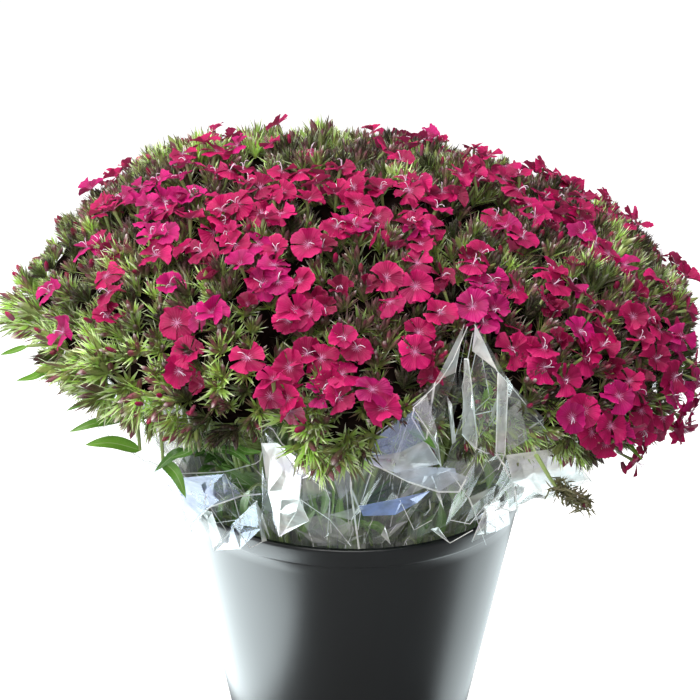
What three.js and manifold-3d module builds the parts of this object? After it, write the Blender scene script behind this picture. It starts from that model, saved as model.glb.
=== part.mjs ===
// Bunches of cut sweet william in clear sleeves, standing in a black bucket of water.
// Millimetres, +Z up. The origin is the middle of the bucket's bottom, and -Y is the front.
import * as THREE from 'three';
import loadManifold from 'manifold-3d';

const wasm = await loadManifold();
wasm.setup();
const { Manifold, Mesh: SolidMesh } = wasm;

const degrees = Math.PI / 180;

// Driving dimensions
const bucket = {
  height: 280, rimRadius: 142, baseRadius: 88, wall: 2.5, floor: 3,
  bandHeight: 16, bandStep: 1.5, lip: 1, sides: 36,
};
const water = { depth: 72 };
const gap = 0.35;
const shortest = 0.05;

// The flowers fill a low dome that leans to the right above the rim.
const dome = {
  radius: 262, rise: 130, drop: 150, centreZ: 421, shift: 14, lean: 5.1 * degrees,
};
// Its left side bulges out low down, and is a little flatter above that.
const bulges = [
  { direction: 285, fall: 94, across: 36, down: 16, depth: 17 },
  { direction: 275, fall: 62, across: 34, down: 15, depth: -7 },
];
// How the bunches share the dome: the space between them, how deep the bracts' feet lie under
// the dome, how far a bunch's edge is rounded down, and how square the bunches are
const bunchSpace = 13;
const cover = 20;
const pillow = { depth: 24, power: 8 };
const squareness = { round: 2, ring: 5 };
const ringFallTop = 27 * degrees;
const ringFallBottom = 106 * degrees;
const middleFall = 22 * degrees;

const head = {
  reach: 42, valley: 11, steepest: 1.25, sideways: 0.03, upDown: 2.5 * degrees, middleTurn: 0.3,
};
const headRows = [37, 56, 75, 94].map((fall) => fall * degrees);
const middleRow = 14.5 * degrees;

const bract = {
  length: 27, least: 0.62, shorter: 0.85, shortest: 9, spread: 0.5, clear: 2.2, footRoom: 3,
  steps: 8, shared: 0.02,
};
const floret = {
  round: 5, reach: 17, notch: 10, calyx: 4, spacing: 27, stand: 13, lean: 0.3, drop: 3.9,
  cup: 2.6, curl: 1.8, lift: 0.4, clear: 0.9, probes: 10,
};
// A petal's left and right corners, as shares of the way from its notch to its middle
const petal = { middle: 36 * degrees, left: 0.42, right: 1.6 };
const stem = { count: 3, radius: 3.4, sides: 5, hole: 0.4, foot: 1.2, spread: 12, together: 9 };
const stemFoot = bucket.floor + stem.foot;
// Where a bunch's stems stand, where they come together and where they end in its heads
const necks = {
  ring: { foot: 58, neck: { out: 105, height: 322 }, heart: { out: 126, height: 358 } },
  middle: { foot: 0, neck: { out: 0, height: 400 }, heart: { out: 0, height: 440 } },
};
const leaf = {
  width: 15, thick: 1.6, fold: 1.2, arch: 7, rootOut: 180, rootHeight: 399,
  stations: [0.3, 0.68], narrowing: 0.35, flattening: 0.3,
};
const skirt = [{ share: 0.42, part: 2 }, { share: 0.78, part: 6 }];
const longLeaves = [
  { bunch: 'left_front', from: 302, to: 298, out: 286, height: 396 },
  { bunch: 'left_front', from: 307, to: 305, out: 270, height: 374 },
  { bunch: 'left_front', from: 314, to: 311, out: 274, height: 372 },
  { bunch: 'left_front', from: 321, to: 319, out: 274, height: 370 },
  { bunch: 'left_front', from: 327, to: 327, out: 264, height: 362 },
  { bunch: 'left_front', from: 333, to: 336, out: 266, height: 384 },
  { bunch: 'right_front', from: 48, to: 49, out: 270, height: 360 },
  { bunch: 'right_back', from: 84, to: 83, out: 288, height: 380 },
  { bunch: 'back_right', from: 150, to: 146, out: 284, height: 376 },
  { bunch: 'back_left', from: 212, to: 216, out: 286, height: 380 },
  { bunch: 'left_back', from: 264, to: 260, out: 288, height: 384 },
];
const wilted = {
  bunch: 'right_front', radius: 1.6, width: 7,
  stem: [
    { direction: 27, out: 208, height: 404 }, { direction: 30, out: 236, height: 388 },
    { direction: 33, out: 247, height: 372 }, { direction: 35, out: 250, height: 358 },
  ],
  tips: [[14, -4, -12], [3, -10, -16], [-9, -4, -13], [18, 2, -2]], firstRoot: 0.12, rootStep: 0.2,
};
const film = {
  thick: 1, foot: 92, overRim: 1, space: 0.6, fold: 4.2, inset: 3, pleats: 5, pleat: 2,
  zigzag: 5, wave: 0.6, topOut: 214, topMiddle: 362, finOut: 246, finTop: 448, finZone: 468,
  sideTop: 420, innerTop: 400, inner: { foot: 36, rim: 57, top: 86 },
};

// Each bunch lies between two directions, turned from the front towards +X. Open counts the
// florets open on each of its heads, top row first, as the photo shows them for the front.
const bunches = [
  { name: 'front', from: -16, to: 14, rings: 6, open: [[4], [4], [4, 4], [2, 0]] },
  { name: 'right_front', from: 14, to: 66, rings: 7, open: [[3, 4], [3, 4], [4, 3, 4], [3, 4, 3]] },
  { name: 'right_back', from: 66, to: 122, rings: 6, open: [[4, 3], [4, 0, 3], [3, 0, 0], [0, 2, 0]] },
  { name: 'back_right', from: 122, to: 180, rings: 6, open: [[0, 3], [3, 0, 3], [0, 4, 0], [0, 0, 0]] },
  { name: 'back_left', from: 180, to: 238, rings: 6, open: [[0, 0], [3, 0, 4], [0, 3, 0], [0, 0, 0]] },
  { name: 'left_back', from: 238, to: 292, rings: 6, open: [[0, 3], [3, 0, 0], [0, 0, 3], [0, 0, 0]] },
  { name: 'left_front', from: 292, to: 344, rings: 7, open: [[4, 4], [4, 4], [2, 1, 2], [0, 1, 0]] },
  { name: 'middle', from: 0, to: 360, rings: 5, open: [[4], [4, 0, 3, 3, 0]] },
];

const colours = {
  bucket: new THREE.MeshStandardMaterial({ color: '#1c1e21', roughness: 0.42, metalness: 0 }),
  water: new THREE.MeshStandardMaterial({ color: '#c9d6d2', roughness: 0.05, metalness: 0 }),
  foliage: new THREE.MeshStandardMaterial({ color: '#5f7138', roughness: 0.6, metalness: 0 }),
  floret: new THREE.MeshStandardMaterial({ color: '#c41a5c', roughness: 0.55, metalness: 0 }),
  film: new THREE.MeshStandardMaterial({ color: '#dfe8ec', roughness: 0.1, metalness: 0 }),
};

// The same row of numbers from 0 to 1 every time for the same seed
function seeded(seed) {
  let state = seed;
  return () => {
    state = (state * 1664525 + 1013904223) % 4294967296;
    return state / 4294967296;
  };
}

const between = (draw, low, high) => low + (high - low) * draw();
const mix = (a, b, share) => a + (b - a) * share;

// A place given by its direction, its distance out and its height, in the leaning dome. The
// lean starts at the rim, so everything in the bucket stays upright.
function place(direction, out, height) {
  const span = dome.centreZ - bucket.height;
  const above = THREE.MathUtils.clamp((height - bucket.height) / span, 0, 1);
  const x = out * Math.sin(direction);
  const z = height - Math.tan(dome.lean) * x * above;
  return new THREE.Vector3(x + dome.shift * above, -out * Math.cos(direction), z);
}

function bulgeAt(direction, fall) {
  return bulges.reduce((sum, each) => {
    const turn = (direction / degrees - each.direction) * degrees;
    const off = Math.atan2(Math.sin(turn), Math.cos(turn)) / degrees;
    const across = off / each.across;
    const down = (fall / degrees - each.fall) / each.down;
    return sum + each.depth * Math.exp(-across * across - down * down);
  }, 0);
}

// A place on the dome: fall is 0 at the top, 90 degrees at the widest and more underneath.
function onDome(direction, fall, inset) {
  const half = Math.cos(fall) > 0 ? dome.rise : dome.drop;
  const height = dome.centreZ + (half - inset) * Math.cos(fall);
  const out = (dome.radius - inset) * Math.sin(fall) + bulgeAt(direction, fall);
  return place(direction, out, height);
}

// The direction straight out of the dome
function domeNormal(direction, fall) {
  const step = 0.02;
  const along = onDome(direction, fall + step, 0).sub(onDome(direction, fall - step, 0));
  const steepest = Math.max(fall, 0.05);
  const across = onDome(direction + step, steepest, 0).sub(onDome(direction - step, steepest, 0));
  return along.cross(across).normalize();
}

function solidFrom(points, triangles) {
  const vertProperties = new Float32Array(points.flatMap((point) => point.toArray()));
  const triVerts = new Uint32Array(triangles.flat());
  return new Manifold(new SolidMesh({ numProp: 3, vertProperties, triVerts }));
}

// Pieces joined in one body, without edges too short to matter. A crumb that their crossing
// faces cut loose is dropped.
function fused(pieces) {
  const bodies = Manifold.union(pieces).simplify(shortest).decompose();
  return bodies.reduce((largest, each) => (each.volume() > largest.volume() ? each : largest));
}

function namedMesh(name, solid, material) {
  const { vertProperties, triVerts } = solid.getMesh();
  const geometry = new THREE.BufferGeometry();
  geometry.setAttribute('position', new THREE.BufferAttribute(vertProperties, 3));
  geometry.setIndex(new THREE.BufferAttribute(triVerts, 1));
  geometry.computeVertexNormals();
  const mesh = new THREE.Mesh(geometry, material);
  mesh.name = name;
  return mesh;
}

// The bucket and its water, turned round the upright axis
function wallRadius(height) {
  const top = bucket.rimRadius - bucket.bandStep;
  return mix(bucket.baseRadius, top, height / bucket.height);
}

function innerRadius(height) {
  return wallRadius(height) - bucket.wall;
}

function turned(profile) {
  const points = [];
  const triangles = [];
  const sides = bucket.sides;
  profile.forEach(([radius, height], row) => {
    for (let side = 0; side < sides; side += 1) {
      const turn = (2 * Math.PI * side) / sides;
      points.push(new THREE.Vector3(radius * Math.sin(turn), -radius * Math.cos(turn), height));
      const next = (side + 1) % sides;
      if (row > 0) {
        const low = (row - 1) * sides;
        const high = row * sides;
        triangles.push([low + side, low + next, high + next]);
        triangles.push([low + side, high + next, high + side]);
      }
    }
  });
  const first = points.push(new THREE.Vector3(0, 0, profile[0][1])) - 1;
  const last = points.push(new THREE.Vector3(0, 0, profile[profile.length - 1][1])) - 1;
  const top = (profile.length - 1) * sides;
  for (let side = 0; side < sides; side += 1) {
    const next = (side + 1) % sides;
    triangles.push([first, next, side]);
    triangles.push([last, top + side, top + next]);
  }
  return solidFrom(points, triangles);
}

function makeBucket() {
  const ledge = bucket.height - bucket.bandHeight;
  return turned([
    [bucket.baseRadius, 0],
    [wallRadius(ledge), ledge],
    [wallRadius(ledge) + bucket.bandStep, ledge + bucket.lip],
    [bucket.rimRadius, bucket.height - bucket.lip],
    [bucket.rimRadius - bucket.lip, bucket.height],
    [innerRadius(bucket.height), bucket.height],
    [innerRadius(bucket.floor), bucket.floor],
  ]);
}

function makeWater(stems) {
  const bottom = bucket.floor + gap;
  const body = turned([
    [innerRadius(bottom) - gap, bottom],
    [innerRadius(water.depth) - gap, water.depth],
  ]);
  const holes = stems.map((ends) => prism(ends.foot, ends.top, stem.radius + stem.hole));
  return body.subtract(Manifold.union(holes));
}

// A straight rod with few sides
function prism(start, end, radius) {
  const along = end.clone().sub(start).normalize();
  const side = new THREE.Vector3(0, 1, 0).cross(along).normalize();
  const front = along.clone().cross(side);
  const points = [];
  const triangles = [];
  for (let corner = 0; corner < stem.sides; corner += 1) {
    const turn = (2 * Math.PI * corner) / stem.sides;
    const out = side.clone().multiplyScalar(Math.cos(turn) * radius);
    out.addScaledVector(front, Math.sin(turn) * radius);
    points.push(start.clone().add(out), end.clone().add(out));
    const here = 2 * corner;
    const next = 2 * ((corner + 1) % stem.sides);
    triangles.push([here, next, next + 1], [here, next + 1, here + 1]);
    if (corner > 1) {
      triangles.push([0, here, here - 2], [1, here - 1, here + 1]);
    }
  }
  return solidFrom(points, triangles);
}

// Where a bunch's own square of -1 to 1 each way lies on the dome
function bunchFrame(bunch) {
  if (bunch.name === 'middle') {
    return (across, down) => {
      const fall = middleFall * Math.min(Math.hypot(across, down), 1);
      return { direction: Math.atan2(across, down), fall };
    };
  }
  const middle = ((bunch.from + bunch.to) / 2) * degrees;
  const half = ((bunch.to - bunch.from) / 2) * degrees;
  return (across, down) => {
    const fall = mix(ringFallTop, ringFallBottom, (down + 1) / 2);
    const space = bunchSpace / 2 / (dome.radius * Math.sin(fall));
    return { direction: middle + across * (half - space), fall };
  };
}

// The heads of a bunch stand in rows, as many in a row as its width holds.
function bunchHeads(bunch, draw) {
  const heads = [];
  if (bunch.name === 'middle') {
    heads.push({ direction: 0, fall: 0, open: bunch.open[0][0] });
    bunch.open[1].forEach((open, index) => {
      const direction = (360 / bunch.open[1].length) * (index + head.middleTurn) * degrees;
      heads.push({ direction, fall: middleRow, open });
    });
  } else {
    bunch.open.forEach((row, level) => {
      row.forEach((open, index) => {
        const share = (index + 0.5) / row.length + between(draw, -head.sideways, head.sideways);
        const direction = mix(bunch.from, bunch.to, share) * degrees;
        const fall = headRows[level] + between(draw, -head.upDown, head.upDown);
        heads.push({ direction, fall, open });
      });
    });
  }
  heads.forEach((each) => {
    each.start = between(draw, 0, 2 * Math.PI);
    each.crown = onDome(each.direction, each.fall, cover);
    each.normal = domeNormal(each.direction, each.fall);
  });
  return heads;
}

// The inner surface that the bracts stand on: round on every head, with valleys between
function coreInset(point, heads, edge) {
  const near = Math.min(...heads.map((each) => each.crown.distanceTo(point)));
  const slope = Math.min(near / head.reach, head.steepest);
  return cover + head.valley * slope * slope + pillow.depth * edge ** pillow.power;
}

function corePoint(bunch, heads, across, down, edge) {
  const { direction, fall } = bunchFrame(bunch)(across, down);
  const middle = onDome(direction, fall, cover);
  return onDome(direction, fall, coreInset(middle, heads, edge));
}

// Rings of points round the middle of the bunch, the last one at its edge. A bunch is a
// rounded square on the dome, and the middle one is round.
function coreRings(bunch, heads) {
  const square = bunch.name === 'middle' ? squareness.round : squareness.ring;
  const rings = [[corePoint(bunch, heads, 0, 0, 0)]];
  for (let ring = 1; ring <= bunch.rings; ring += 1) {
    const share = ring / bunch.rings;
    const count = 6 * ring;
    const row = [];
    for (let index = 0; index < count; index += 1) {
      const turn = (2 * Math.PI * (index + 0.5 * (ring % 2))) / count;
      const power = mix(squareness.round, square, share);
      const fit = (Math.abs(Math.cos(turn)) ** power + Math.abs(Math.sin(turn)) ** power) ** (-1 / power);
      const across = share * fit * Math.sin(turn);
      const down = share * fit * Math.cos(turn);
      row.push(corePoint(bunch, heads, across, down, share));
    }
    rings.push(row);
  }
  return rings;
}

// Triangles between two rings of points that need not have the same count
function zip(outer, inner) {
  const triangles = [];
  let a = 0;
  let b = 0;
  while (a < outer.length || b < inner.length) {
    const nextA = (a + 1) / outer.length;
    const nextB = (b + 1) / inner.length;
    const here = [outer[a % outer.length], inner[b % inner.length]];
    if (b >= inner.length || (a < outer.length && nextA <= nextB)) {
      a += 1;
      triangles.push([here[0], outer[a % outer.length], here[1]]);
    } else {
      b += 1;
      triangles.push([here[0], inner[b % inner.length], here[1]]);
    }
  }
  return triangles;
}

// Where the stems of a bunch stand on the floor, where they come together under the heads,
// and their tops inside the heads
function neckOf(bunch) {
  const { foot, neck, heart } = bunch.name === 'middle' ? necks.middle : necks.ring;
  const middle = ((bunch.from + bunch.to) / 2) * degrees;
  return {
    foot: place(middle, foot, stemFoot),
    neck: place(middle, neck.out, neck.height),
    heart: place(middle, heart.out, heart.height),
  };
}

// The closed body under the bracts: the rings on top, and walls down to the neck
function coreBody(bunch, rings) {
  const { neck } = neckOf(bunch);
  const edge = rings[rings.length - 1];
  const thin = (count, share) => Array.from({ length: count }, (unused, index) => {
    const spot = (index * edge.length) / count;
    const from = edge[Math.floor(spot) % edge.length];
    return from.clone().lerp(neck, share);
  });
  const under = [...skirt.map(({ share, part }) => thin(edge.length / part, share)), [neck]];
  const all = [...rings, ...under];
  const points = all.flat();
  const starts = [];
  all.reduce((start, row) => {
    starts.push(start);
    return start + row.length;
  }, 0);
  const rows = all.map((row, index) => row.map((unused, spot) => starts[index] + spot));
  const top = [];
  const walls = [];
  for (let row = 1; row < rows.length; row += 1) {
    const faces = zip(rows[row], rows[row - 1]);
    const target = row < rings.length ? top : walls;
    target.push(...faces.filter(([a, b, c]) => a !== b && b !== c && c !== a));
  }
  return { points, top, walls };
}

// How far a place is from the sides of its bunch's own share of the dome
function sideRoom(point, bunch) {
  const span = dome.centreZ - bucket.height;
  const above = THREE.MathUtils.clamp((point.z - bucket.height) / span, 0, 1);
  const x = point.x - dome.shift * above;
  const out = Math.hypot(x, point.y);
  const fall = (ringFallTop + middleFall) / 2;
  const ring = (dome.radius - cover - head.valley) * Math.sin(fall);
  if (bunch.name === 'middle') {
    return ring - out;
  }
  const direction = Math.atan2(x, -point.y);
  const left = out * Math.sin(direction - bunch.from * degrees);
  const right = out * Math.sin(bunch.to * degrees - direction);
  return Math.min(out - ring, left, right);
}

// Where a straight line first meets the body's top faces
function meet(body, origin, towards) {
  const ray = new THREE.Ray(origin, towards);
  const target = new THREE.Vector3();
  let nearest = null;
  body.top.forEach(([a, b, c]) => {
    const hit = ray.intersectTriangle(body.points[a], body.points[b], body.points[c], false, target);
    if (hit && (!nearest || hit.distanceTo(origin) < nearest.distanceTo(origin))) {
      nearest = hit.clone();
    }
  });
  return nearest;
}

// Two directions square to an axis and to each other
function sidesOf(axis) {
  const side = new THREE.Vector3(0, 1, 0).cross(axis).normalize();
  return { side, front: axis.clone().cross(side) };
}

// True where the ground lies clear below a floret's petals
function groundIsLow(body, spot) {
  const { side, front } = sidesOf(spot.axis);
  return Array.from({ length: floret.probes }, (unused, index) => {
    const turn = (2 * Math.PI * index) / floret.probes;
    const above = spot.face.clone().addScaledVector(spot.axis, floret.reach);
    above.addScaledVector(side, Math.cos(turn) * (floret.reach + 1));
    above.addScaledVector(front, Math.sin(turn) * (floret.reach + 1));
    const ground = meet(body, above, spot.axis.clone().negate());
    return !ground || ground.distanceTo(above) > floret.reach + floret.clear;
  }).every(Boolean);
}

// Where a floret of a head stands: the first in the head's middle, and the others round it,
// a petal of each over a petal of the first. It is null where there is no room for it.
function floretSpot(grown, each, index, taken) {
  const { side, front } = sidesOf(each.normal);
  const turn = each.start + (4 * Math.PI * index) / 5;
  const off = index === 0 ? 0 : floret.spacing;
  const out = side.clone().multiplyScalar(Math.cos(turn)).addScaledVector(front, Math.sin(turn));
  const axis = each.normal.clone().addScaledVector(out, index === 0 ? 0 : floret.lean).normalize();
  const face = each.crown.clone().addScaledVector(each.normal, floret.stand);
  face.addScaledVector(out, off).addScaledVector(each.normal, index === 0 ? 0 : -floret.drop);
  const ground = meet(grown.body, face, axis.clone().negate());
  const others = taken.filter((other) => !each.florets.includes(other));
  const farOff = others.every((other) => other.face.distanceTo(face) > 2 * floret.reach + 1);
  const low = face.z < film.finZone;
  if (!ground || !farOff || (low && sideRoom(face, grown.bunch) < floret.reach + 2)) {
    return null;
  }
  const foot = ground.addScaledVector(axis, gap + 0.1);
  const turned = (index === 0 ? turn : turn + Math.PI) - petal.middle;
  const spot = { foot, face, axis, turned, stand: face.distanceTo(foot) };
  return groundIsLow(grown.body, spot) ? spot : null;
}

// One floret: five broad petals over a narrow calyx, the petals twisted like a fan
function floretSolid({ foot, axis, turned, stand }) {
  const { side, front } = sidesOf(axis);
  const at = (turn, off, up) => foot.clone()
    .addScaledVector(side, Math.cos(turned + turn) * off)
    .addScaledVector(front, Math.sin(turned + turn) * off)
    .addScaledVector(axis, up);
  const points = [at(0, 0, 0), at(0, 0, stand)];
  const triangles = [];
  for (let number = 0; number < 5; number += 1) {
    const turn = (2 * Math.PI * number) / 5;
    points.push(at(turn, floret.calyx, stand - floret.cup));
    points.push(at(turn, floret.notch, stand + floret.lift));
    points.push(at(turn + petal.middle * petal.left, floret.reach, stand + floret.curl));
    points.push(at(turn + petal.middle * petal.right, floret.reach, stand + floret.lift));
    const [under, notch, left, right] = [0, 1, 2, 3].map((step) => 2 + 4 * number + step);
    const nextUnder = 2 + 4 * ((number + 1) % 5);
    const nextNotch = nextUnder + 1;
    triangles.push([1, notch, left], [1, left, right], [1, right, nextNotch]);
    triangles.push([under, left, notch], [under, right, left]);
    triangles.push([under, nextUnder, right], [nextUnder, nextNotch, right]);
    triangles.push([0, nextUnder, under]);
  }
  return solidFrom(points, triangles);
}

// True where a place is inside or nearly touches a floret
function nearFloret(point, spot) {
  const offset = point.clone().sub(spot.foot);
  const up = offset.dot(spot.axis);
  const off = Math.sqrt(Math.max(offset.lengthSq() - up * up, 0));
  const petals = spot.stand - floret.cup;
  if (up < -floret.clear) {
    return false;
  }
  if (up > petals - floret.clear) {
    return off < floret.reach + floret.clear;
  }
  return off < (floret.calyx * Math.max(up, 0)) / petals + floret.clear;
}

// Places along a bract's edges and down the middle of its faces
function bractPlaces(corners, tip) {
  const places = [tip];
  corners.forEach((corner, index) => {
    const next = corners[(index + 1) % corners.length];
    for (let step = 0; step < bract.steps; step += 1) {
      places.push(corner.clone().lerp(tip, step / bract.steps));
      places.push(corner.clone().lerp(next, 0.5).lerp(tip, step / bract.steps));
    }
  });
  return places;
}

// A bract as the three lines from its corners to its tip, clear of the corners, and its faces
function bractShape([a, b, c], tip) {
  const lines = [a, b, c].map((corner) => [corner.clone().lerp(tip, bract.shared), tip]);
  return { lines, faces: [[a, b, tip], [b, c, tip], [c, a, tip]], tip };
}

// True where one of the lines passes through one of the faces
function passThrough(lines, faces) {
  const ray = new THREE.Ray();
  const hit = new THREE.Vector3();
  return lines.some(([start, end]) => {
    ray.set(start, end.clone().sub(start).normalize());
    const reach = start.distanceTo(end);
    return faces.some(([a, b, c]) => (
      ray.intersectTriangle(a, b, c, false, hit) && hit.distanceTo(start) < reach));
  });
}

// The bracts: each top face is drawn out to a point, leaning away from the middle of its head.
// It is shortened until it is clear of the florets, the next bunch and the bracts and faces
// round it, or stays flat.
function bractTip(grown, own, florets, draw) {
  const { bunch, heads, surface } = grown;
  const corners = surface[own].corners;
  const base = new THREE.Triangle(...corners);
  const middle = surface[own].middle;
  const normal = base.getNormal(new THREE.Vector3());
  const farFrom = (each) => each.crown.distanceTo(middle);
  const nearest = heads.reduce((best, each) => (farFrom(each) < farFrom(best) ? each : best));
  const away = middle.clone().sub(nearest.crown).divideScalar(head.reach);
  away.addScaledVector(normal, -away.dot(normal));
  const lean = normal.clone().addScaledVector(away, bract.spread).normalize();
  const full = bract.length * between(draw, bract.least, 1);
  const close = florets.filter((spot) => farFrom({ crown: spot.foot }) < 2 * bract.length);
  const round = surface.filter((other, index) => (
    index !== own && other.middle.distanceTo(middle) < 2 * bract.length));
  const onBase = new THREE.Vector3();
  const underFoot = close.some((spot) => (
    base.closestPointToPoint(spot.foot, onBase).distanceTo(spot.foot) < bract.footRoom));
  for (let length = full; !underFoot && length >= bract.shortest; length *= bract.shorter) {
    const tip = middle.clone().addScaledVector(lean, length);
    const places = bractPlaces(corners, tip);
    const clear = places.every((spot) => close.every((each) => !nearFloret(spot, each)));
    const room = tip.z < film.finZone ? film.fold + 2 : bract.clear;
    const shape = bractShape(corners, tip);
    const crossing = () => round.some((other) => (
      passThrough(shape.lines, other.faces) || passThrough(other.lines, shape.faces)));
    if (clear && sideRoom(tip, bunch) > room && !crossing()) {
      return shape;
    }
  }
  return null;
}

function foliageSolid(grown, florets, draw) {
  const { body } = grown;
  grown.surface = body.top.map((face) => {
    const corners = face.map((index) => body.points[index]);
    const middle = new THREE.Triangle(...corners).getMidpoint(new THREE.Vector3());
    return { face, corners, middle, faces: [corners], lines: [] };
  });
  const points = [...body.points];
  const triangles = [...body.walls];
  grown.surface.forEach((each, index) => {
    const shape = bractTip(grown, index, florets, draw);
    if (shape) {
      Object.assign(each, shape);
      const peak = points.push(shape.tip) - 1;
      const [a, b, c] = each.face;
      triangles.push([a, b, peak], [b, c, peak], [c, a, peak]);
    } else {
      triangles.push(each.face);
    }
  });
  return solidFrom(points, triangles);
}

// A bunch's stems, from inside the heads down to the floor of the bucket
function stemEnds(bunch) {
  const { heart, foot } = neckOf(bunch);
  return Array.from({ length: stem.count }, (unused, index) => {
    const turn = (2 * Math.PI * (index + 0.25)) / stem.count;
    const out = new THREE.Vector3(Math.cos(turn), Math.sin(turn), 0);
    return {
      top: heart.clone().addScaledVector(out, stem.spread),
      foot: foot.clone().addScaledVector(out, -stem.together),
    };
  });
}

// A long pointed leaf with a raised midrib, from its root to its tip
function leafSolid(root, tip, rise, width) {
  const along = tip.clone().sub(root);
  const side = new THREE.Vector3(0, 0, 1).cross(along).normalize();
  const face = along.clone().cross(side).normalize();
  const points = [root.clone()];
  leaf.stations.forEach((share, station) => {
    const arch = rise * (1 - leaf.flattening * station);
    const middle = root.clone().lerp(tip, share).addScaledVector(face, arch);
    const half = (width / 2) * (1 - leaf.narrowing * station);
    points.push(middle.clone().addScaledVector(side, half));
    points.push(middle.clone().addScaledVector(face, leaf.thick / 2 - leaf.fold));
    points.push(middle.clone().addScaledVector(side, -half));
    points.push(middle.clone().addScaledVector(face, -leaf.thick / 2 - leaf.fold));
  });
  points.push(tip.clone());
  const triangles = [];
  for (let corner = 0; corner < 4; corner += 1) {
    const next = (corner + 1) % 4;
    triangles.push([0, 1 + next, 1 + corner]);
    triangles.push([1 + corner, 5 + next, 5 + corner], [1 + corner, 1 + next, 5 + next]);
    triangles.push([5 + corner, 5 + next, 9]);
  }
  return solidFrom(points, triangles);
}

// The long leaves that hang out over the film, each from its direction to where its tip is
function leavesOf(bunch) {
  const own = longLeaves.filter((each) => each.bunch === bunch.name);
  return own.map((each) => {
    const root = place(each.from * degrees, leaf.rootOut, leaf.rootHeight);
    const tip = place(each.to * degrees, each.out, each.height);
    return leafSolid(root, tip, leaf.arch, leaf.width);
  });
}

// The wilted head that hangs out of a bunch on its bent stem
function wiltedSolids() {
  const spots = wilted.stem.map(({ direction, out, height }) => place(direction * degrees, out, height));
  const rods = spots.slice(1).map((spot, index) => prism(spots[index], spot, wilted.radius));
  const end = spots[spots.length - 1];
  const tips = wilted.tips.map(([x, y, z]) => end.clone().add(new THREE.Vector3(x, y, z)));
  const before = spots[spots.length - 2];
  const root = (index) => end.clone().lerp(before, wilted.firstRoot + wilted.rootStep * index);
  return [...rods, ...tips.map((tip, index) => leafSolid(root(index), tip, 0, wilted.width))];
}

// The film round one bunch of the ring, as three loops of places: at its foot, at the bucket's
// rim and at its top edge. The corners stand up as thin solid fins between the bunches.
function filmLoops(bunch) {
  const middle = ((bunch.from + bunch.to) / 2) * degrees;
  const half = ((bunch.to - bunch.from) / 2) * degrees;
  const flat = Math.cos(Math.PI / bucket.sides);
  const atFoot = innerRadius(film.foot) * flat - film.inset;
  const atRim = innerRadius(bucket.height) * flat - gap;
  const front = [atFoot, atRim, film.topOut];
  const fin = [atFoot, atRim, film.finOut];
  const back = [film.inner.foot, film.inner.rim, film.inner.top];
  const side = back.map((value, row) => (value + front[row]) / 2);
  const { space, fold, thick, zigzag } = film;
  const thinner = front.map((value) => value - thick);
  const finShare = (thinner[2] - side[2]) / (film.finOut - side[2]);
  const finTop = mix(film.sideTop, film.finTop, finShare);
  const corner = { share: 1, space: fold, radii: front, top: film.topMiddle + 2 * zigzag };
  corner.inside = { space: fold + thick, radii: thinner };
  const blunt = { share: 1, space: space + thick, radii: fin, top: film.finTop };
  blunt.inside = { space: space + 2 * thick, radii: thinner, top: finTop };
  const edge = { share: 1, space, radii: fin, top: film.finTop };
  edge.inside = { space: space + thick, radii: thinner, top: finTop };
  const wall = { share: 1, space, radii: side, top: film.sideTop };
  wall.inside = { space: space + thick, radii: side };
  const inner = { share: 1, space, radii: back, top: film.innerTop };
  inner.inside = { space: space + thick, radii: back.map((value) => value + thick) };
  const behind = { share: 0, space, radii: back, top: film.innerTop - zigzag, inside: inner.inside };
  const right = [corner, blunt, edge, wall, inner];
  const left = right.map((spot) => ({ ...spot, share: -1 })).reverse();
  const pleats = [];
  for (let pleat = 1; pleat < film.pleats; pleat += 1) {
    const up = pleat % 2 === 0 ? zigzag : -zigzag;
    const radii = [front[0] - film.pleat, front[1], front[2] + up * film.wave];
    const inside = { space: fold, radii: radii.map((value) => value - thick) };
    const share = (2 * pleat) / film.pleats - 1;
    pleats.push({ share, space: fold, radii, top: film.topMiddle + up, inside });
  }
  const spots = [...left, ...pleats, ...right, behind];
  const heights = [film.foot, bucket.height + film.overRim];
  const placed = (spot, row, top) => {
    const out = spot.radii[row];
    const direction = middle + spot.share * (half - Math.asin(spot.space / out));
    return place(direction, out, row < 2 ? heights[row] : top);
  };
  return {
    outside: [0, 1, 2].map((row) => spots.map((spot) => placed(spot, row, spot.top))),
    inside: [2, 1, 0].map((row) => spots.map((spot) => (
      placed({ ...spot.inside, share: spot.share }, row, spot.inside.top ?? spot.top)))),
  };
}

// A film's outer and inner sides, with the same folds in both, and its edges at top and foot
function filmSolid(bunch) {
  const { outside, inside } = filmLoops(bunch);
  const rows = [...outside, ...inside];
  const count = outside[0].length;
  const triangles = [];
  rows.forEach((row, level) => {
    const next = (level + 1) % rows.length;
    for (let index = 0; index < count; index += 1) {
      const after = (index + 1) % count;
      const [a, b] = [level * count + index, level * count + after];
      const [c, d] = [next * count + index, next * count + after];
      if (level < outside.length) {
        triangles.push([a, b, d], [a, d, c]);
      } else {
        triangles.push([a, b, c], [b, d, c]);
      }
    }
  });
  return solidFrom(rows.flat(), triangles);
}

// The whole bucketful
const part = new THREE.Group();
part.name = 'potted_sweet_william';

function add(name, solid, material) {
  part.add(namedMesh(name, solid, material));
}

const draw = seeded(7);
const grown = bunches.map((bunch) => {
  const heads = bunchHeads(bunch, draw);
  return { bunch, heads, body: coreBody(bunch, coreRings(bunch, heads)) };
});

// The middle floret of every open head comes first, and then those round it.
const florets = [];
for (let index = 0; index <= floret.round; index += 1) {
  grown.forEach((each) => each.heads.forEach((one) => {
    one.florets = one.florets ?? [];
    const wanted = one.florets.length < one.open && (index === 0 || one.florets.length > 0);
    const spot = wanted ? floretSpot(each, one, index, florets) : null;
    if (spot) {
      one.florets.push(spot);
      florets.push(spot);
    }
  }));
}

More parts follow.
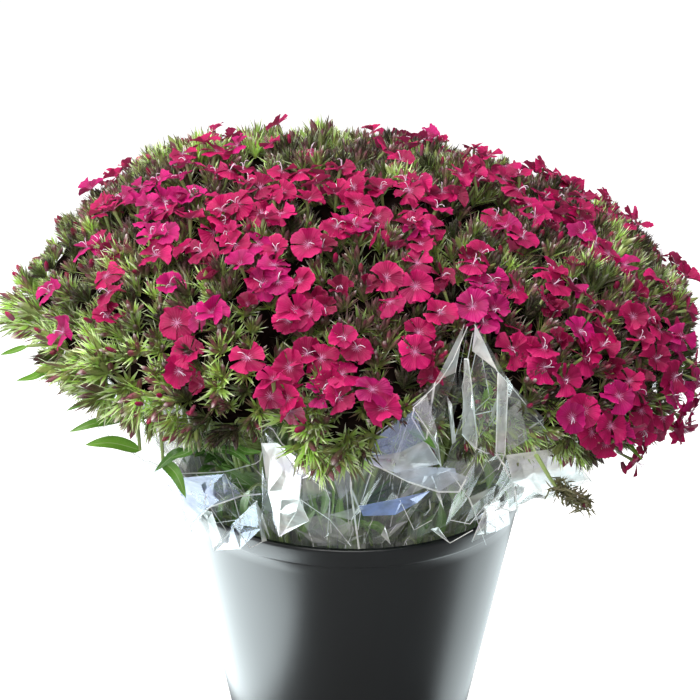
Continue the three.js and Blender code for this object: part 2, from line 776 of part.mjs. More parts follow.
add('bucket', makeBucket(), colours.bucket);
add('water', makeWater(grown.flatMap((each) => stemEnds(each.bunch))), colours.water);
grown.forEach((each) => {
  const { bunch, heads } = each;
  const pieces = [foliageSolid(each, florets, draw)];
  pieces.push(...stemEnds(bunch).map((ends) => prism(ends.foot, ends.top, stem.radius)));
  pieces.push(...leavesOf(bunch));
  if (bunch.name === wilted.bunch) {
    pieces.push(...wiltedSolids());
  }
  add(`${bunch.name}_foliage`, fused(pieces), colours.foliage);
  heads.filter((one) => one.florets.length > 0).forEach((one, index) => {
    const name = `${bunch.name}_florets_${index + 1}`;
    add(name, fused(one.florets.map(floretSolid)), colours.floret);
  });
  if (bunch.name !== 'middle') {
    add(`${bunch.name}_film`, filmSolid(bunch), colours.film);
  }
});

export default part;
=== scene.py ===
"""The looks of the potted sweet william: cut bunches in clear sleeves in a black bucket of water.

Metres, +Z up, -Y is the front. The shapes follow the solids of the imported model: the same leaning
dome, the same bunches, heads, sleeves and bucket.
"""

import math

import bpy
import numpy as np
from mathutils import Matrix, Vector
from mathutils.geometry import delaunay_2d_cdt


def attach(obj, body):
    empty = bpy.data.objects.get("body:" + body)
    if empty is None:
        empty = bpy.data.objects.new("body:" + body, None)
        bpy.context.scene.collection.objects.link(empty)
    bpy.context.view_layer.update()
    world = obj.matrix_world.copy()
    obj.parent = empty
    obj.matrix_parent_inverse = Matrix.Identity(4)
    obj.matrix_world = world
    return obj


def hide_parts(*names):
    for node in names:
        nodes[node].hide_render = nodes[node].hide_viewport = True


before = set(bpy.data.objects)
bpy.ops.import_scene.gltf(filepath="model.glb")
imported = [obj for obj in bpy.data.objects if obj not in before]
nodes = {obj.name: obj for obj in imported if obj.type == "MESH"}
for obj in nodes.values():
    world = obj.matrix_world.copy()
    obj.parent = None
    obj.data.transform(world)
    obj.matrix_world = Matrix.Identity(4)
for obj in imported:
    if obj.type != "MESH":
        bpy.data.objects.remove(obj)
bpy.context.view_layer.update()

degrees = math.pi / 180

# The bucket, in metres as everything here, on the measures of the part's source
HEIGHT = 0.280
RIM = 0.142  # outer radius at the top
BASE = 0.088  # outer radius at the bottom
WALL = 0.0025
FLOOR = 0.003
BAND, BAND_STEP = 0.016, 0.0015  # height of the rim band, and how far it stands out

# The dome of the heads: an ellipsoid with a lower half of its own. A place on it has a direction,
# from the front towards +X, and a fall, from the top downwards.
RADIUS, RISE, DROP = 0.262, 0.130, 0.150
CENTRE = 0.421  # height of its middle
SHIFT, LEAN = 0.014, 5.1 * degrees  # towards +X
# its left side bulges out low down and is flatter above: direction, fall, their spread, depth
BULGES = [(285, 94, 36, 16, 0.017), (275, 62, 34, 15, -0.007)]

# The bunches: seven in a ring and one in the middle
RING_TOP, RING_BOTTOM, MIDDLE_FALL = 27 * degrees, 106 * degrees, 22 * degrees
BUNCH_SPACE = 0.013
HEAD_ROWS = [fall * degrees for fall in (37, 56, 75, 94)]
MIDDLE_ROW = 14.5 * degrees
REACH = 0.042  # from the middle of a head to its edge
# how deep the foliage's core lies, and how much deeper between heads and at a bunch's edge
COVER, VALLEY, PILLOW = 0.020, 0.011, 0.024
# name, from, to (degrees from the front towards +X), florets open on each head by row
BUNCHES = [
    ("front", -16, 14, [[4], [4], [4, 4], [2, 0]]),
    ("right_front", 14, 66, [[3, 4], [3, 4], [4, 3, 4], [3, 4, 3]]),
    ("right_back", 66, 122, [[4, 3], [4, 0, 3], [3, 0, 0], [0, 2, 0]]),
    ("back_right", 122, 180, [[0, 3], [3, 0, 3], [0, 4, 0], [0, 0, 0]]),
    ("back_left", 180, 238, [[0, 0], [3, 0, 4], [0, 3, 0], [0, 0, 0]]),
    ("left_back", 238, 292, [[0, 3], [3, 0, 0], [0, 0, 3], [0, 0, 0]]),
    ("left_front", 292, 344, [[4, 4], [4, 4], [2, 1, 2], [0, 1, 0]]),
    ("middle", 0, 360, [[4], [4, 0, 3, 3, 0]]),
]
NAMES = [bunch[0] for bunch in BUNCHES]
MIDDLE = len(BUNCHES) - 1

# The photo's camera, and the side of the photo in pixels
PICTURE = 700
EYE = np.array([0, -1.18295, 0.81910])
PITCH, YAW, ROLL, FOCAL = 20.17 * degrees, -0.08 * degrees, 0.5 * degrees, 1585 / PICTURE
MIDDLE_PIXEL, FOCAL_PIXELS = PICTURE / 2, PICTURE * FOCAL

# Seeds of the random draws. Where each bunch has its own, its number is added.
SEEDS = dict(
    tuft_spots=11, tufts=12, heads=13, far_florets=21, florets=22, outer_bracts=30,
    inner_bracts=40, tuft_buds=50, stems=70, long_leaves=80, photo_leaves=88, under_leaves=89,
    wilted=91, film=100, folds=200, mirrors=300)

# The open florets of the side that the photo shows, by where each one's middle is in it.
# o open, p pinker, c cupped and painted darker for the shade in the cup, b bud, s on a taller stalk
FLORETS = """
o206,128 o220,124 c228,134 o206,146 o214,147 p237,145 o271,137 o279,127 b290,141 p310,149 o186,158
b138,148 b145,168 b172,133 p189,167 o213,171 o232,173 o243,169 p138,184 p161,184 p179,177 o102,203
p119,196 p134,200 o100,209 o116,212 p145,221 p147,203 p161,198 p179,198 p190,195 p156,209 o169,212
p166,235 p154,238 o190,218 o211,229 o223,223 o218,196 o223,212 o238,207 o248,184 o260,187 o259,209
o272,198 o281,214 o282,191 o283,174 o301,176 o311,171 o317,183 o307,198 o341,171 o337,196 o346,205
o346,189 o266,222 o185,245 o201,251 o230,236 o234,245 p257,242 b248,226 o277,251 o308,243 c321,243
b335,254 o337,229 o347,225 p86,247 o96,240 c104,250 o154,254 b89,261 o102,274 b42,265 b19,275
p51,292 p65,332 o107,317 o113,294 b90,320 p168,285 o173,322 p201,319 p215,314 c205,261 c207,276
p243,268 o257,276 p263,283 p275,267 p279,283 o299,281 c245,303 b276,303 o297,312 o310,314 c315,296
c322,305 c340,285 o288,320 o344,339 o306,354 o321,358 o185,354 o248,358 b106,350 b13,316 p88,188
s373,130 o387,147 o401,157 o407,140 s429,135 b421,155 o462,154 o472,160 s476,146 s488,155 o507,161
o484,169 o459,177 o472,178 c481,174 o506,174 o521,173 o537,164 o545,171 o564,173 o554,173 o573,187
b587,187 o517,193 o529,204 o546,196 o558,198 o582,198 o593,207 o604,203 o607,214 o555,210 c551,222
o535,217 o564,214 o575,212 o582,218 o354,174 o363,183 o381,184 o354,189 o406,180 o419,183 o409,192
o428,190 o443,188 c457,190 o438,203 o414,207 o357,207 o377,214 c368,227 o375,229 p354,225 o410,225
p417,227 o431,227 o421,243 c397,245 b387,243 o418,260 p506,226 o498,213 o522,238 c513,247 c471,254
o472,266 o481,254 p584,232 o596,243 b561,236 o611,252 b625,206 o629,222 o633,228 b648,228 p629,263
c578,264 o549,272 o669,254 o677,265 o683,279 p678,288 o654,279 o638,276 b622,281 c642,292 c367,283
o386,279 o415,287 c446,287 c444,274 o390,302 o439,314 p482,285 p495,279 o515,287 p484,296 p471,308
p493,310 p482,323 o553,285 p575,283 o544,299 c560,310 c551,304 o588,312 o580,294 c613,310 o629,317
o647,319 o656,330 o640,339 o691,310 p676,337 p683,346 o526,332 p580,332 o604,334 c564,341 o600,346
o513,350 o529,352 o542,348 o587,353 o419,332 o414,352 c435,353 o357,348 o658,359 o179,371 c198,387
o270,396 o290,367 o288,398 o290,412 p321,394 o339,398 o342,374 o330,383 b301,427 o275,380 b194,409
b138,404 b163,394 c428,369 c433,380 p372,389 o383,407 o544,367 o564,380 o584,358 p616,396 c618,367
o640,391 p573,418 o587,412 o609,425 p618,434 o633,429 o595,434 o645,412 o665,418 p669,394 p685,389
p694,412 o685,434 c647,445 o609,445 o642,465 b636,475 p694,380 o671,376 o680,425 c649,383 o629,381
b529,405 b544,399 o676,333 c662,434 o647,432 o700,365 o704,398 o706,425
"""


def rng(what, index=0):
    """The random draws of one thing, the same in every run"""
    return np.random.default_rng(SEEDS[what] + index)


def srgb(code):
    """A colour written as in a paint program, as Blender's linear one."""
    value = np.array([int(code[i : i + 2], 16) for i in (0, 2, 4)]) / 255
    return np.where(value <= 0.04045, value / 12.92, ((value + 0.055) / 1.055) ** 2.4)


def unit(vectors):
    return vectors / np.maximum(np.linalg.norm(vectors, axis=-1, keepdims=True), 1e-9)


def smooth(value, low, high):
    """Rises smoothly from 0 to 1 while value goes from low to high"""
    t = np.clip((value - low) / (high - low), 0, 1)
    return t * t * (3 - 2 * t)


def mixed(first, second, share):
    """Colours between two others"""
    return first + (second - first) * np.asarray(share)[..., None]


def short_way(turn):
    """The same turn the short way round"""
    return (turn + math.pi) % (2 * math.pi) - math.pi


def same_turn(direction, other):
    """The same direction, at most half a turn from another one"""
    return direction + 2 * math.pi * np.round((other - direction) / (2 * math.pi))


# The leaning dome
def leaning(height):
    """How much of the lean a height has: none at the bucket's rim, all from the dome's middle up"""
    return np.clip((height - HEIGHT) / (CENTRE - HEIGHT), 0, 1)


def place(direction, out, height):
    """Points from their direction, distance out and height on the leaning axis"""
    above = leaning(height)
    x = out * np.sin(direction)
    z = height - math.tan(LEAN) * x * above
    return np.stack(np.broadcast_arrays(x + SHIFT * above, -out * np.cos(direction), z), -1)


def upright(points):
    """Direction, distance out and height of places, undoing the lean"""
    height = points[..., 2]
    for _ in range(6):
        above = leaning(height)
        x = points[..., 0] - SHIFT * above
        height = points[..., 2] + math.tan(LEAN) * x * above
    return np.arctan2(x, -points[..., 1]), np.hypot(x, points[..., 1]), height


def bulge(direction, fall):
    """How far the dome stands out of its ellipsoid"""
    grown = 0
    for middle, level, across, down, depth in BULGES:
        off = (np.degrees(direction) - middle + 180) % 360 - 180
        grown = grown + depth * np.exp(-((off / across) ** 2) - ((np.degrees(fall) - level) / down) ** 2)
    return grown


def on_dome(direction, fall, inset):
    """Points of the dome, or inset metres under it"""
    half = np.where(np.cos(fall) > 0, RISE, DROP)
    height = CENTRE + (half - inset) * np.cos(fall)
    out = (RADIUS - inset) * np.sin(fall) + bulge(direction, fall)
    return place(direction, out, height)


def dome_normal(direction, fall):
    """The way out of the dome, from two steps along it"""
    step = 0.02
    along = on_dome(direction, fall + step, 0) - on_dome(direction, fall - step, 0)
    low = np.maximum(fall, 0.05)
    across = on_dome(direction + step, low, 0) - on_dome(direction - step, low, 0)
    return unit(np.cross(along, across))


def dome_spot(points):
    """Direction, fall and depth under the dome of places near it; depth is a share of its size."""
    direction, out, height = upright(points)
    half = np.where(height > CENTRE, RISE, DROP)
    plain = out
    for _ in range(4):
        fall = np.arctan2(plain / RADIUS, (height - CENTRE) / half)
        plain = out - bulge(direction, fall)
    depth = 1 - np.hypot(plain / RADIUS, (height - CENTRE) / half)
    return direction, fall, depth


# The photo's places
def camera_axes():
    """The camera's right, up and forward"""
    forward = np.array([math.sin(YAW) * math.cos(PITCH), math.cos(YAW) * math.cos(PITCH), -math.sin(PITCH)])
    right = unit(np.cross(forward, [0, 0, 1]))
    up = np.cross(right, forward)
    c, s = math.cos(ROLL), math.sin(ROLL)
    return c * right + s * up, -s * right + c * up, forward


RIGHT, UP, FORWARD = camera_axes()


def pixel_of(points):
    """Where the camera sees places"""
    away = points - EYE
    depth = away @ FORWARD
    x = MIDDLE_PIXEL + FOCAL_PIXELS * (away @ RIGHT) / depth
    return x, MIDDLE_PIXEL - FOCAL_PIXELS * (away @ UP) / depth


def along_pixels(spots):
    """Places one after another on the lines of sight through pixels"""
    across = ((spots[:, 0] - MIDDLE_PIXEL) / FOCAL_PIXELS)[:, None] * RIGHT
    upward = ((MIDDLE_PIXEL - spots[:, 1]) / FOCAL_PIXELS)[:, None] * UP
    way = unit(FORWARD + across + upward)
    return EYE + way[:, None, :] * np.linspace(0.75, 1.6, 1201)[None, :, None]


def first_inside(inside, distance):
    """The index of the first place inside on each line of sight, or else of the nearest one"""
    first = np.where(inside.any(1), inside.argmax(1), distance.argmin(1))
    return np.arange(len(first)), first


def at_pixels(spots):
    """The places under pixels at given distances out in millimetres"""
    points = along_pixels(spots)
    out = upright(points)[1]
    return points[first_inside(out < spots[:, 2:] / 1000, out)]


def dome_at_pixels(spots):
    """Direction and fall of the first places of the dome under pixels, or of the nearest to them"""
    direction, fall, depth = dome_spot(along_pixels(spots))
    first = first_inside(depth > 0, -depth)
    return direction[first], fall[first]


def numbers(text):
    """A table from words such as 12,34"""
    return np.array([[float(value) for value in word.split(",")] for word in text.split()])


def rows_of(text):
    """The lines of a text: the plain numbers of each, and the table of its places"""
    for line in text.strip().splitlines():
        words = line.split()
        plain = [float(word) for word in words if "," not in word]
        yield *plain, numbers(" ".join(word for word in words if "," in word))


# Bunches and heads
def span(index):
    """The direction of a bunch's middle, and half its width"""
    _, start, end, _ = BUNCHES[index]
    return (start + end) / 2 * degrees, (end - start) / 2 * degrees


def bunch_of(direction, fall):
    """The number of the bunch at a place of the dome"""
    turn = np.degrees(direction) % 360
    found = np.zeros(turn.shape, int)
    for index, (_, start, end, _) in enumerate(BUNCHES[:-1]):
        found = np.where(((turn - start) % 360) < (end - start), index, found)
    return np.where(fall < (RING_TOP + MIDDLE_FALL) / 2, MIDDLE, found)


def heads_of_bunches():
    """The middle of every flower head, from the same row of numbers as the part's source: its
    bunch, direction, fall and count of florets"""
    state = 7

    def draw():
        nonlocal state
        state = (state * 1664525 + 1013904223) % 2**32
        return state / 2**32

    heads = []
    for index, (name, start, end, rows) in enumerate(BUNCHES):
        own = []
        if name == "middle":
            own.append((0.0, 0.0, rows[0][0]))
            for spot, count in enumerate(rows[1]):
                own.append((360 / len(rows[1]) * (spot + 0.3) * degrees, MIDDLE_ROW, count))
        else:
            for level, row in enumerate(rows):
                for spot, count in enumerate(row):
                    share = (spot + 0.5) / len(row) + (-0.03 + 0.06 * draw())
                    direction = (start + (end - start) * share) * degrees
                    own.append((direction, HEAD_ROWS[level] + (-2.5 + 5 * draw()) * degrees, count))
        for head in own:
            # the part's source takes one more number for each head
            draw()
            heads.append((index, *head))
    return np.array(heads)


HEADS = heads_of_bunches()
CROWNS = on_dome(HEADS[:, 1], HEADS[:, 2], COVER)
OTHER_BUNCH = 9.0  # added to the distance of heads that aren't of the same bunch


def edge_share(bunch, direction, fall):
    """0 in the middle of a bunch and 1 at its edge"""
    share = fall / MIDDLE_FALL
    space = BUNCH_SPACE / 2 / (RADIUS * np.sin(np.clip(fall, RING_TOP, RING_BOTTOM)))
    down = np.abs((fall - RING_TOP) / (RING_BOTTOM - RING_TOP) * 2 - 1)
    for index in range(MIDDLE):
        middle, half = span(index)
        across = np.abs(short_way(direction - middle)) / (half - space)
        share = np.where(bunch == index, (across**5 + down**5) ** 0.2, share)
    return share


def nearest_head(points, bunch):
    """Number of and distance to the nearest head of the same bunch"""
    far = np.linalg.norm(points[:, None, :] - CROWNS[None], axis=-1)
    far = far + (HEADS[None, :, 0] != bunch[:, None]) * OTHER_BUNCH
    return far.argmin(1), far.min(1)


# Meshes from arrays
def add_object(name, data):
    """A new object in the scene"""
    made = bpy.data.objects.new(name, data)
    bpy.context.scene.collection.objects.link(made)
    return made


class Soup:
    """Triangles collected from many small shapes, with colours, map places and materials."""

    def __init__(self, *materials):
        self.materials = materials
        self.points, self.faces, self.colours, self.maps, self.kinds, self.soft = [], [], [], [], [], []
        self.count = 0

    def add(self, points, faces, colour, made_of, maps=0, soft=False):
        """points (n, k, 3) are n copies of a shape with k points, faces (m, 3) are the shape's."""
        n, k = points.shape[:2]
        faces = np.asarray(faces, int)
        start = self.count + np.arange(n)[:, None, None] * k
        self.points.append(points.reshape(-1, 3))
        self.faces.append((faces[None] + start).reshape(-1, 3))
        self.colours.append(np.broadcast_to(colour, (n, k, 3)).reshape(-1, 3))
        self.maps.append(np.broadcast_to(maps, (n, k, 2)).reshape(-1, 2))
        self.kinds.append(np.full(n * len(faces), self.materials.index(made_of)))
        self.soft.append(np.full(n * len(faces), soft))
        self.count += n * k

    def add_grid(self, points, colour, made_of, maps=0, closed=False):
        """One smooth sheet of points (rows, columns, 3), or a tube if it is closed"""
        rows, columns = points.shape[:2]
        shade = np.broadcast_to(colour, points.shape).reshape(1, -1, 3)
        maps = np.broadcast_to(maps, (rows, columns, 2)).reshape(1, -1, 2)
        self.add(points.reshape(1, -1, 3), grid_faces(rows, columns, closed), shade, made_of, maps, True)

    def build(self, name, slot, nodes):
        """One piece of the visual model, which stands for the given nodes of the part"""
        points, faces = np.concatenate(self.points), np.concatenate(self.faces)
        mesh = bpy.data.meshes.new(name)
        mesh.vertices.add(len(points))
        mesh.vertices.foreach_set("co", points.astype(np.float32).ravel())
        mesh.loops.add(faces.size)
        mesh.loops.foreach_set("vertex_index", faces.astype(np.int32).ravel())
        mesh.polygons.add(len(faces))
        mesh.polygons.foreach_set("loop_start", np.arange(0, faces.size, 3, dtype=np.int32))
        mesh.update(calc_edges=True)
        mesh.polygons.foreach_set("material_index", np.concatenate(self.kinds).astype(np.int32))
        mesh.polygons.foreach_set("use_smooth", np.concatenate(self.soft))
        tint = mesh.attributes.new("tint", "FLOAT_COLOR", "POINT")
        rgba = np.ones((len(points), 4), np.float32)
        rgba[:, :3] = np.concatenate(self.colours)
        tint.data.foreach_set("color", rgba.ravel())
        layer = mesh.uv_layers.new(name="spot")
        layer.data.foreach_set("uv", np.concatenate(self.maps)[faces.ravel()].astype(np.float32).ravel())
        mesh.validate()
        for each in self.materials:
            mesh.materials.append(each)
        piece = add_object(name, mesh)
        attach(piece, "root")
        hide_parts(*nodes)


def grid_faces(rows, columns, closed=False):
    """The triangles of a grid of points, whose last column also meets the first if it is closed"""
    faces = []
    for row in range(rows - 1):
        for column in range(columns if closed else columns - 1):
            after = (column + 1) % columns
            a, b = row * columns + column, row * columns + after
            c, d = a + columns, b + columns
            faces += [(a, b, d), (a, d, c)]
    return faces


def frames(axis, draw=None):
    """Two directions square to each axis, turned at random"""
    helper = np.where(np.abs(axis[..., 2:3]) > 0.9, [1.0, 0, 0], [0, 0, 1.0])
    side = unit(np.cross(helper, axis))
    front = np.cross(axis, side)
    if draw is None:
        return side, front
    turn = draw.uniform(0, 2 * math.pi, axis.shape[:-1])[..., None]
    return side * np.cos(turn) + front * np.sin(turn), front * np.cos(turn) - side * np.sin(turn)


BLADE_STATIONS = np.array([0, 0.55, 1.0])
BLADE_WIDTHS = np.array([0.8, 1.0])
BLADE_FACES = [(0, 1, 3), (0, 3, 2), (2, 3, 4)]


def add_blades(soup, base, way, side, length, width, bend, colours):
    """Narrow leaves or bracts. bend is a vector that the tip is moved by, colours are those of base,
    middle and tip."""
    s = BLADE_STATIONS
    spine = base[:, None] + way[:, None] * (length[:, None] * s)[..., None] + bend[:, None] * (s**2)[:, None]
    half = (width[:, None] * BLADE_WIDTHS / 2)[..., None]
    left = spine[:, :2] - side[:, None] * half
    right = spine[:, :2] + side[:, None] * half
    points = np.stack([left, right], 2).reshape(len(base), 4, 3)
    shade = np.repeat(np.stack(colours[:2], 1), 2, 1)
    shade = np.concatenate([shade, colours[2][:, None]], 1)
    soup.add(np.concatenate([points, spine[:, 2:]], 1), BLADE_FACES, shade, BRACT)


def rings(side, front, sides, turned=0.0):
    """Circles of so many sides square to an axis"""
    turn = 2 * math.pi * np.arange(sides) / sides + turned
    return side[:, None] * np.cos(turn)[:, None] + front[:, None] * np.sin(turn)[:, None]


def add_spindles(soup, base, way, side, tall, wide, profile, colours, made_of, sides=6, twist=0.0, maps=0):
    """Round shapes, such as buds and tubes. The profile has every ring's share of their length and
    of their width, and colours has its colours."""
    front = np.cross(way, side)
    rows = []
    for index, (along, broad) in enumerate(profile):
        middle = base + way * (tall * along)[:, None]
        ring = rings(side, front, sides, twist * index) * (wide * broad)[:, None, None]
        rows.append(middle[:, None] + ring)
    shade = np.repeat(np.stack(colours, 1), sides, 1)
    faces = grid_faces(len(profile), sides, True)
    soup.add(np.concatenate(rows, 1), faces, shade, made_of, maps, soft=True)


# Materials
def new_material(name):
    """A material, its node tree and its shader"""
    made = bpy.data.materials.new(name)
    made.use_nodes = True
    return made, made.node_tree, made.node_tree.nodes["Principled BSDF"]


def put(tree, socket, value):
    """Links a socket to an output, or sets it to a number or a colour"""
    if isinstance(value, bpy.types.NodeSocket):
        tree.links.new(value, socket)
    elif isinstance(value, (int, float)):
        socket.default_value = value
    else:
        socket.default_value = (*value, 1)


def set_up(tree, made, **settings):
    """Settings of a node, and its sockets by name with _ for a space"""
    for key, value in settings.items():
        if hasattr(made, key):
            setattr(made, key, value)
        else:
            put(tree, made.inputs[key.replace("_", " ")], value)
    return made


def node(tree, kind, **settings):
    return set_up(tree, tree.nodes.new("ShaderNode" + kind), **settings)


def maths(tree, operation, first, second=None, clamp=False):
    made = node(tree, "Math", operation=operation, use_clamp=clamp)
    put(tree, made.inputs[0], first)
    if second is not None:
        put(tree, made.inputs[1], second)
    return made.outputs[0]


def times(tree, first, second):
    return maths(tree, "MULTIPLY", first, second)


def blend(tree, share, first, second, kind="MIX"):
    """A mixture of colours. The sockets go by number, because several have the same name."""
    made = node(tree, "Mix", data_type="RGBA", blend_type=kind)
    for number, value in ((0, share), (6, first), (7, second)):
        put(tree, made.inputs[number], value)
    return made.outputs[2]


def ramp(tree, value, low, high):
    """Rises smoothly from 0 to 1 while value goes from low to high"""
    made = node(tree, "MapRange", interpolation_type="SMOOTHSTEP", Value=value, From_Min=low, From_Max=high)
    return made.outputs["Result"]


def noise(tree, scale, detail=3.0, stretch=None):
    """Soft noise in the object's own space, with smaller spots for a larger scale"""
    where = node(tree, "TexCoord").outputs["Object"]
    if stretch:
        mapping = node(tree, "Mapping", Vector=where)
        mapping.inputs["Scale"].default_value = stretch
        where = mapping.outputs[0]
    return node(tree, "TexNoise", Scale=scale, Detail=detail, Vector=where).outputs["Fac"]


def bump(tree, shader, height, strength, distance):
    """Fine relief on a shader"""
    made = node(tree, "Bump", Strength=strength, Distance=distance, Height=height)
    put(tree, shader.inputs["Normal"], made.outputs[0])


def mix_shaders(tree, share, first, second):
    made = node(tree, "MixShader", Fac=share)
    put(tree, made.inputs[1], first.outputs[0])
    put(tree, made.inputs[2], second.outputs[0])
    return made


def show(tree, shader):
    put(tree, tree.nodes["Material Output"].inputs[0], shader.outputs[0])


def let_light_through(tree, shader, colour, share):
    """A thin petal or leaf also glows with the light behind it."""
    show(tree, mix_shaders(tree, share, shader, node(tree, "BsdfTranslucent", Color=colour)))


def tint_of(tree, part="Color"):
    """The colour that the mesh holds"""
    return node(tree, "Attribute", attribute_name="tint").outputs[part]


def petal_material():
    made, tree, shader = new_material("petal")
    axes = node(tree, "SeparateXYZ", Vector=node(tree, "UVMap", uv_map="spot").outputs[0])
    across, along = axes.outputs[0], axes.outputs[1]
    # fine veins that spread from the throat
    wave = maths(tree, "SINE", times(tree, across, 46))
    veins = times(tree, ramp(tree, wave, 0.2, 1.0), ramp(tree, along, 1.0, 0.3))
    mottle = ramp(tree, noise(tree, 420), 0.35, 0.75)
    # a dark ring and pale rays at the throat
    ring = times(tree, ramp(tree, along, 0.10, 0.26), ramp(tree, along, 0.62, 0.3))
    rays = ramp(tree, maths(tree, "COSINE", times(tree, across, 19)), -0.1, 0.9)
    rays = times(tree, rays, ramp(tree, along, 0.36, 0.14))
    throat = maths(tree, "MAXIMUM", rays, ramp(tree, along, 0.12, 0.04))
    # the outer edge and the back are paler
    edge = ramp(tree, along, 0.86, 1.0)
    back = node(tree, "NewGeometry").outputs["Backfacing"]
    # where each of these lies, how strong it is, and its colour
    layers = [
        (veins, 0.5, "7c0634"), (mottle, 0.2, "cc1868"), (ring, 0.35, "8a0a3c"),
        (throat, 0.6, "e0a4cc"), (edge, 0.2, "dc4289"), (back, 0.45, "c4507c"),
    ]
    colour = tint_of(tree)
    for where, strength, code in layers:
        colour = blend(tree, times(tree, where, strength), colour, srgb(code))
    set_up(tree, shader, Base_Color=colour, Roughness=0.55, Specular_IOR_Level=0.3)
    bump(tree, shader, wave, 0.25, 0.0003)
    let_light_through(tree, shader, colour, 0.22)
    return made


def plant_material(name, roughness, through):
    """Green parts take their colour from the mesh, with fine streaks and dull patches over it."""
    made, tree, shader = new_material(name)
    streak = noise(tree, 900)
    streaks = times(tree, ramp(tree, streak, 0.4, 0.7), 0.2)
    patches = times(tree, ramp(tree, noise(tree, 60), 0.45, 0.7), 0.25)
    colour = blend(tree, streaks, tint_of(tree), (0.42, 0.46, 0.22))
    colour = blend(tree, patches, colour, (0.5, 0.5, 0.4), "MULTIPLY")
    set_up(tree, shader, Base_Color=colour, Roughness=roughness, Specular_IOR_Level=0.5)
    bump(tree, shader, streak, 0.3, 0.0004)
    let_light_through(tree, shader, colour, through)
    return made


def core_material():
    """The inside of a bunch, dull and mottled; its near-black colour is painted shade"""
    made, tree, shader = new_material("core")
    mottle = ramp(tree, noise(tree, 120), 0.35, 0.65)
    colour = blend(tree, mottle, tint_of(tree), (0.35, 0.3, 0.3), "MULTIPLY")
    set_up(tree, shader, Base_Color=colour, Roughness=1, Specular_IOR_Level=0)
    return made


def style_material():
    made, tree, shader = new_material("style")
    colour = blend(tree, noise(tree, 500), srgb("f4e6f0"), srgb("d9b4cf"))
    set_up(tree, shader, Base_Color=colour, Roughness=0.4)
    return made


def bucket_material():
    made, tree, shader = new_material("bucket_plastic")
    scuff = noise(tree, 9, 6, (1, 1, 0.25))
    colour = blend(tree, ramp(tree, scuff, 0.45, 0.75), srgb("0a0e10"), srgb("12181b"))
    rough = maths(tree, "ADD", times(tree, ramp(tree, scuff, 0.3, 0.8), 0.08), 0.3)
    set_up(tree, shader, Base_Color=colour, Roughness=rough, Specular_IOR_Level=0.55)
    bump(tree, shader, noise(tree, 1400, 2), 0.12, 0.0003)
    return made


def water_material():
    made, tree, shader = new_material("water")
    ripple = noise(tree, 40)
    colour = blend(tree, ramp(tree, ripple, 0.4, 0.7), (0.75, 0.85, 0.8), (0.82, 0.9, 0.84))
    set_up(tree, shader, Base_Color=colour, Roughness=0.03, IOR=1.33, Transmission_Weight=0.9)
    bump(tree, shader, ripple, 0.15, 0.001)
    return made


def film_material():
    """Clear film: what is behind shows through, the facets mirror the studio, creases are white, and the
    milk has a painted glow.
    The mesh's colour holds how milky a place is (red), how near a crease (green), how blue (blue)
    and how much it mirrors (alpha)."""
    made, tree, shader = new_material("film")
    parts = node(tree, "SeparateColor", Color=tint_of(tree))
    milk, crease, blue = parts.outputs[0], parts.outputs[1], parts.outputs[2]
    mirrored = tint_of(tree, "Alpha")
    hue = noise(tree, 22, 2)
    pale = blend(tree, ramp(tree, hue, 0.42, 0.56), srgb("eefaf9"), srgb("fdfcf7"))
    pale = blend(tree, ramp(tree, hue, 0.55, 0.68), pale, srgb("f3effb"))
    pale = blend(tree, blue, pale, srgb("8fb2ff"))
    # clear film and what it mirrors
    clear = node(tree, "BsdfTransparent", Color=(0.985, 0.99, 0.985))
    mirror = node(tree, "BsdfGlossy", Roughness=0.06, Color=blend(tree, 0.5, pale, (1, 1, 1)))
    shine = times(tree, node(tree, "Fresnel", IOR=1.5).outputs[0], 1.4)
    shine = times(tree, maths(tree, "ADD", shine, 0.02, clamp=True), mirrored)
    film = mix_shaders(tree, shine, clear, mirror)
    # milky film also glows: painted light that stands in for the light of the whole studio it throws back
    studio = times(tree, ramp(tree, mirrored, 0.2, 0.35), 0.45)
    set_up(tree, shader, Base_Color=pale, Roughness=0.4, Emission_Color=pale, Emission_Strength=studio)
    veil = mix_shaders(tree, 0.5, shader, node(tree, "BsdfTranslucent", Color=pale))
    # streaks in the milk, white lines at some creases, and a faint haze
    streaks = times(tree, ramp(tree, noise(tree, 48, 4), 0.38, 0.6), 0.4)
    milk = times(tree, milk, maths(tree, "ADD", streaks, 0.65))
    line = times(tree, ramp(tree, crease, 0.955, 0.99), ramp(tree, noise(tree, 70), 0.4, 0.6))
    haze = times(tree, ramp(tree, noise(tree, 55, 2, (1, 1, 0.4)), 0.52, 0.6), 0.08)
    share = maths(tree, "ADD", milk, times(tree, line, 0.7), clamp=True)
    share = maths(tree, "ADD", share, haze, clamp=True)
    show(tree, mix_shaders(tree, share, film, veil))
    return made


PETAL = petal_material()
BRACT = plant_material("bract", 0.45, 0.2)
CORE = core_material()
LEAF = plant_material("leaf", 0.38, 0.25)
STYLE = style_material()
FILM = film_material()

# core is a colour of painted shade
# haze is a painted highlight on bud tips and in part on bract tips
GREEN = {key: srgb(code) for key, code in dict(
    base="cfe268", mid="8aa34c", deep="4c6a28", fresh="a0d634", pale="e0e8c0", tip="70404e",
    dark="3c222c", haze="f0e6e4", core="1e1614", under="84985a", leaf="6aa63c", leafdark="3f7430",
    stem="c2da88", calyx="b4cc78", bud="84143e", budtip="b81c56", brown="8c7c60",
    browndark="52483c").items()}
# cup is darker: painted shade of cupped florets
ROSE = {key: srgb(code) for key, code in dict(
    open="b80657", deep="920342", pink="ba0a6c", cup="7a0332", light="c61267").items()}

# Foliage: tufts of bracts and buds on every head
TUFT_SPACING, TUFT_BOTTOM = 0.0142, 107 * degrees
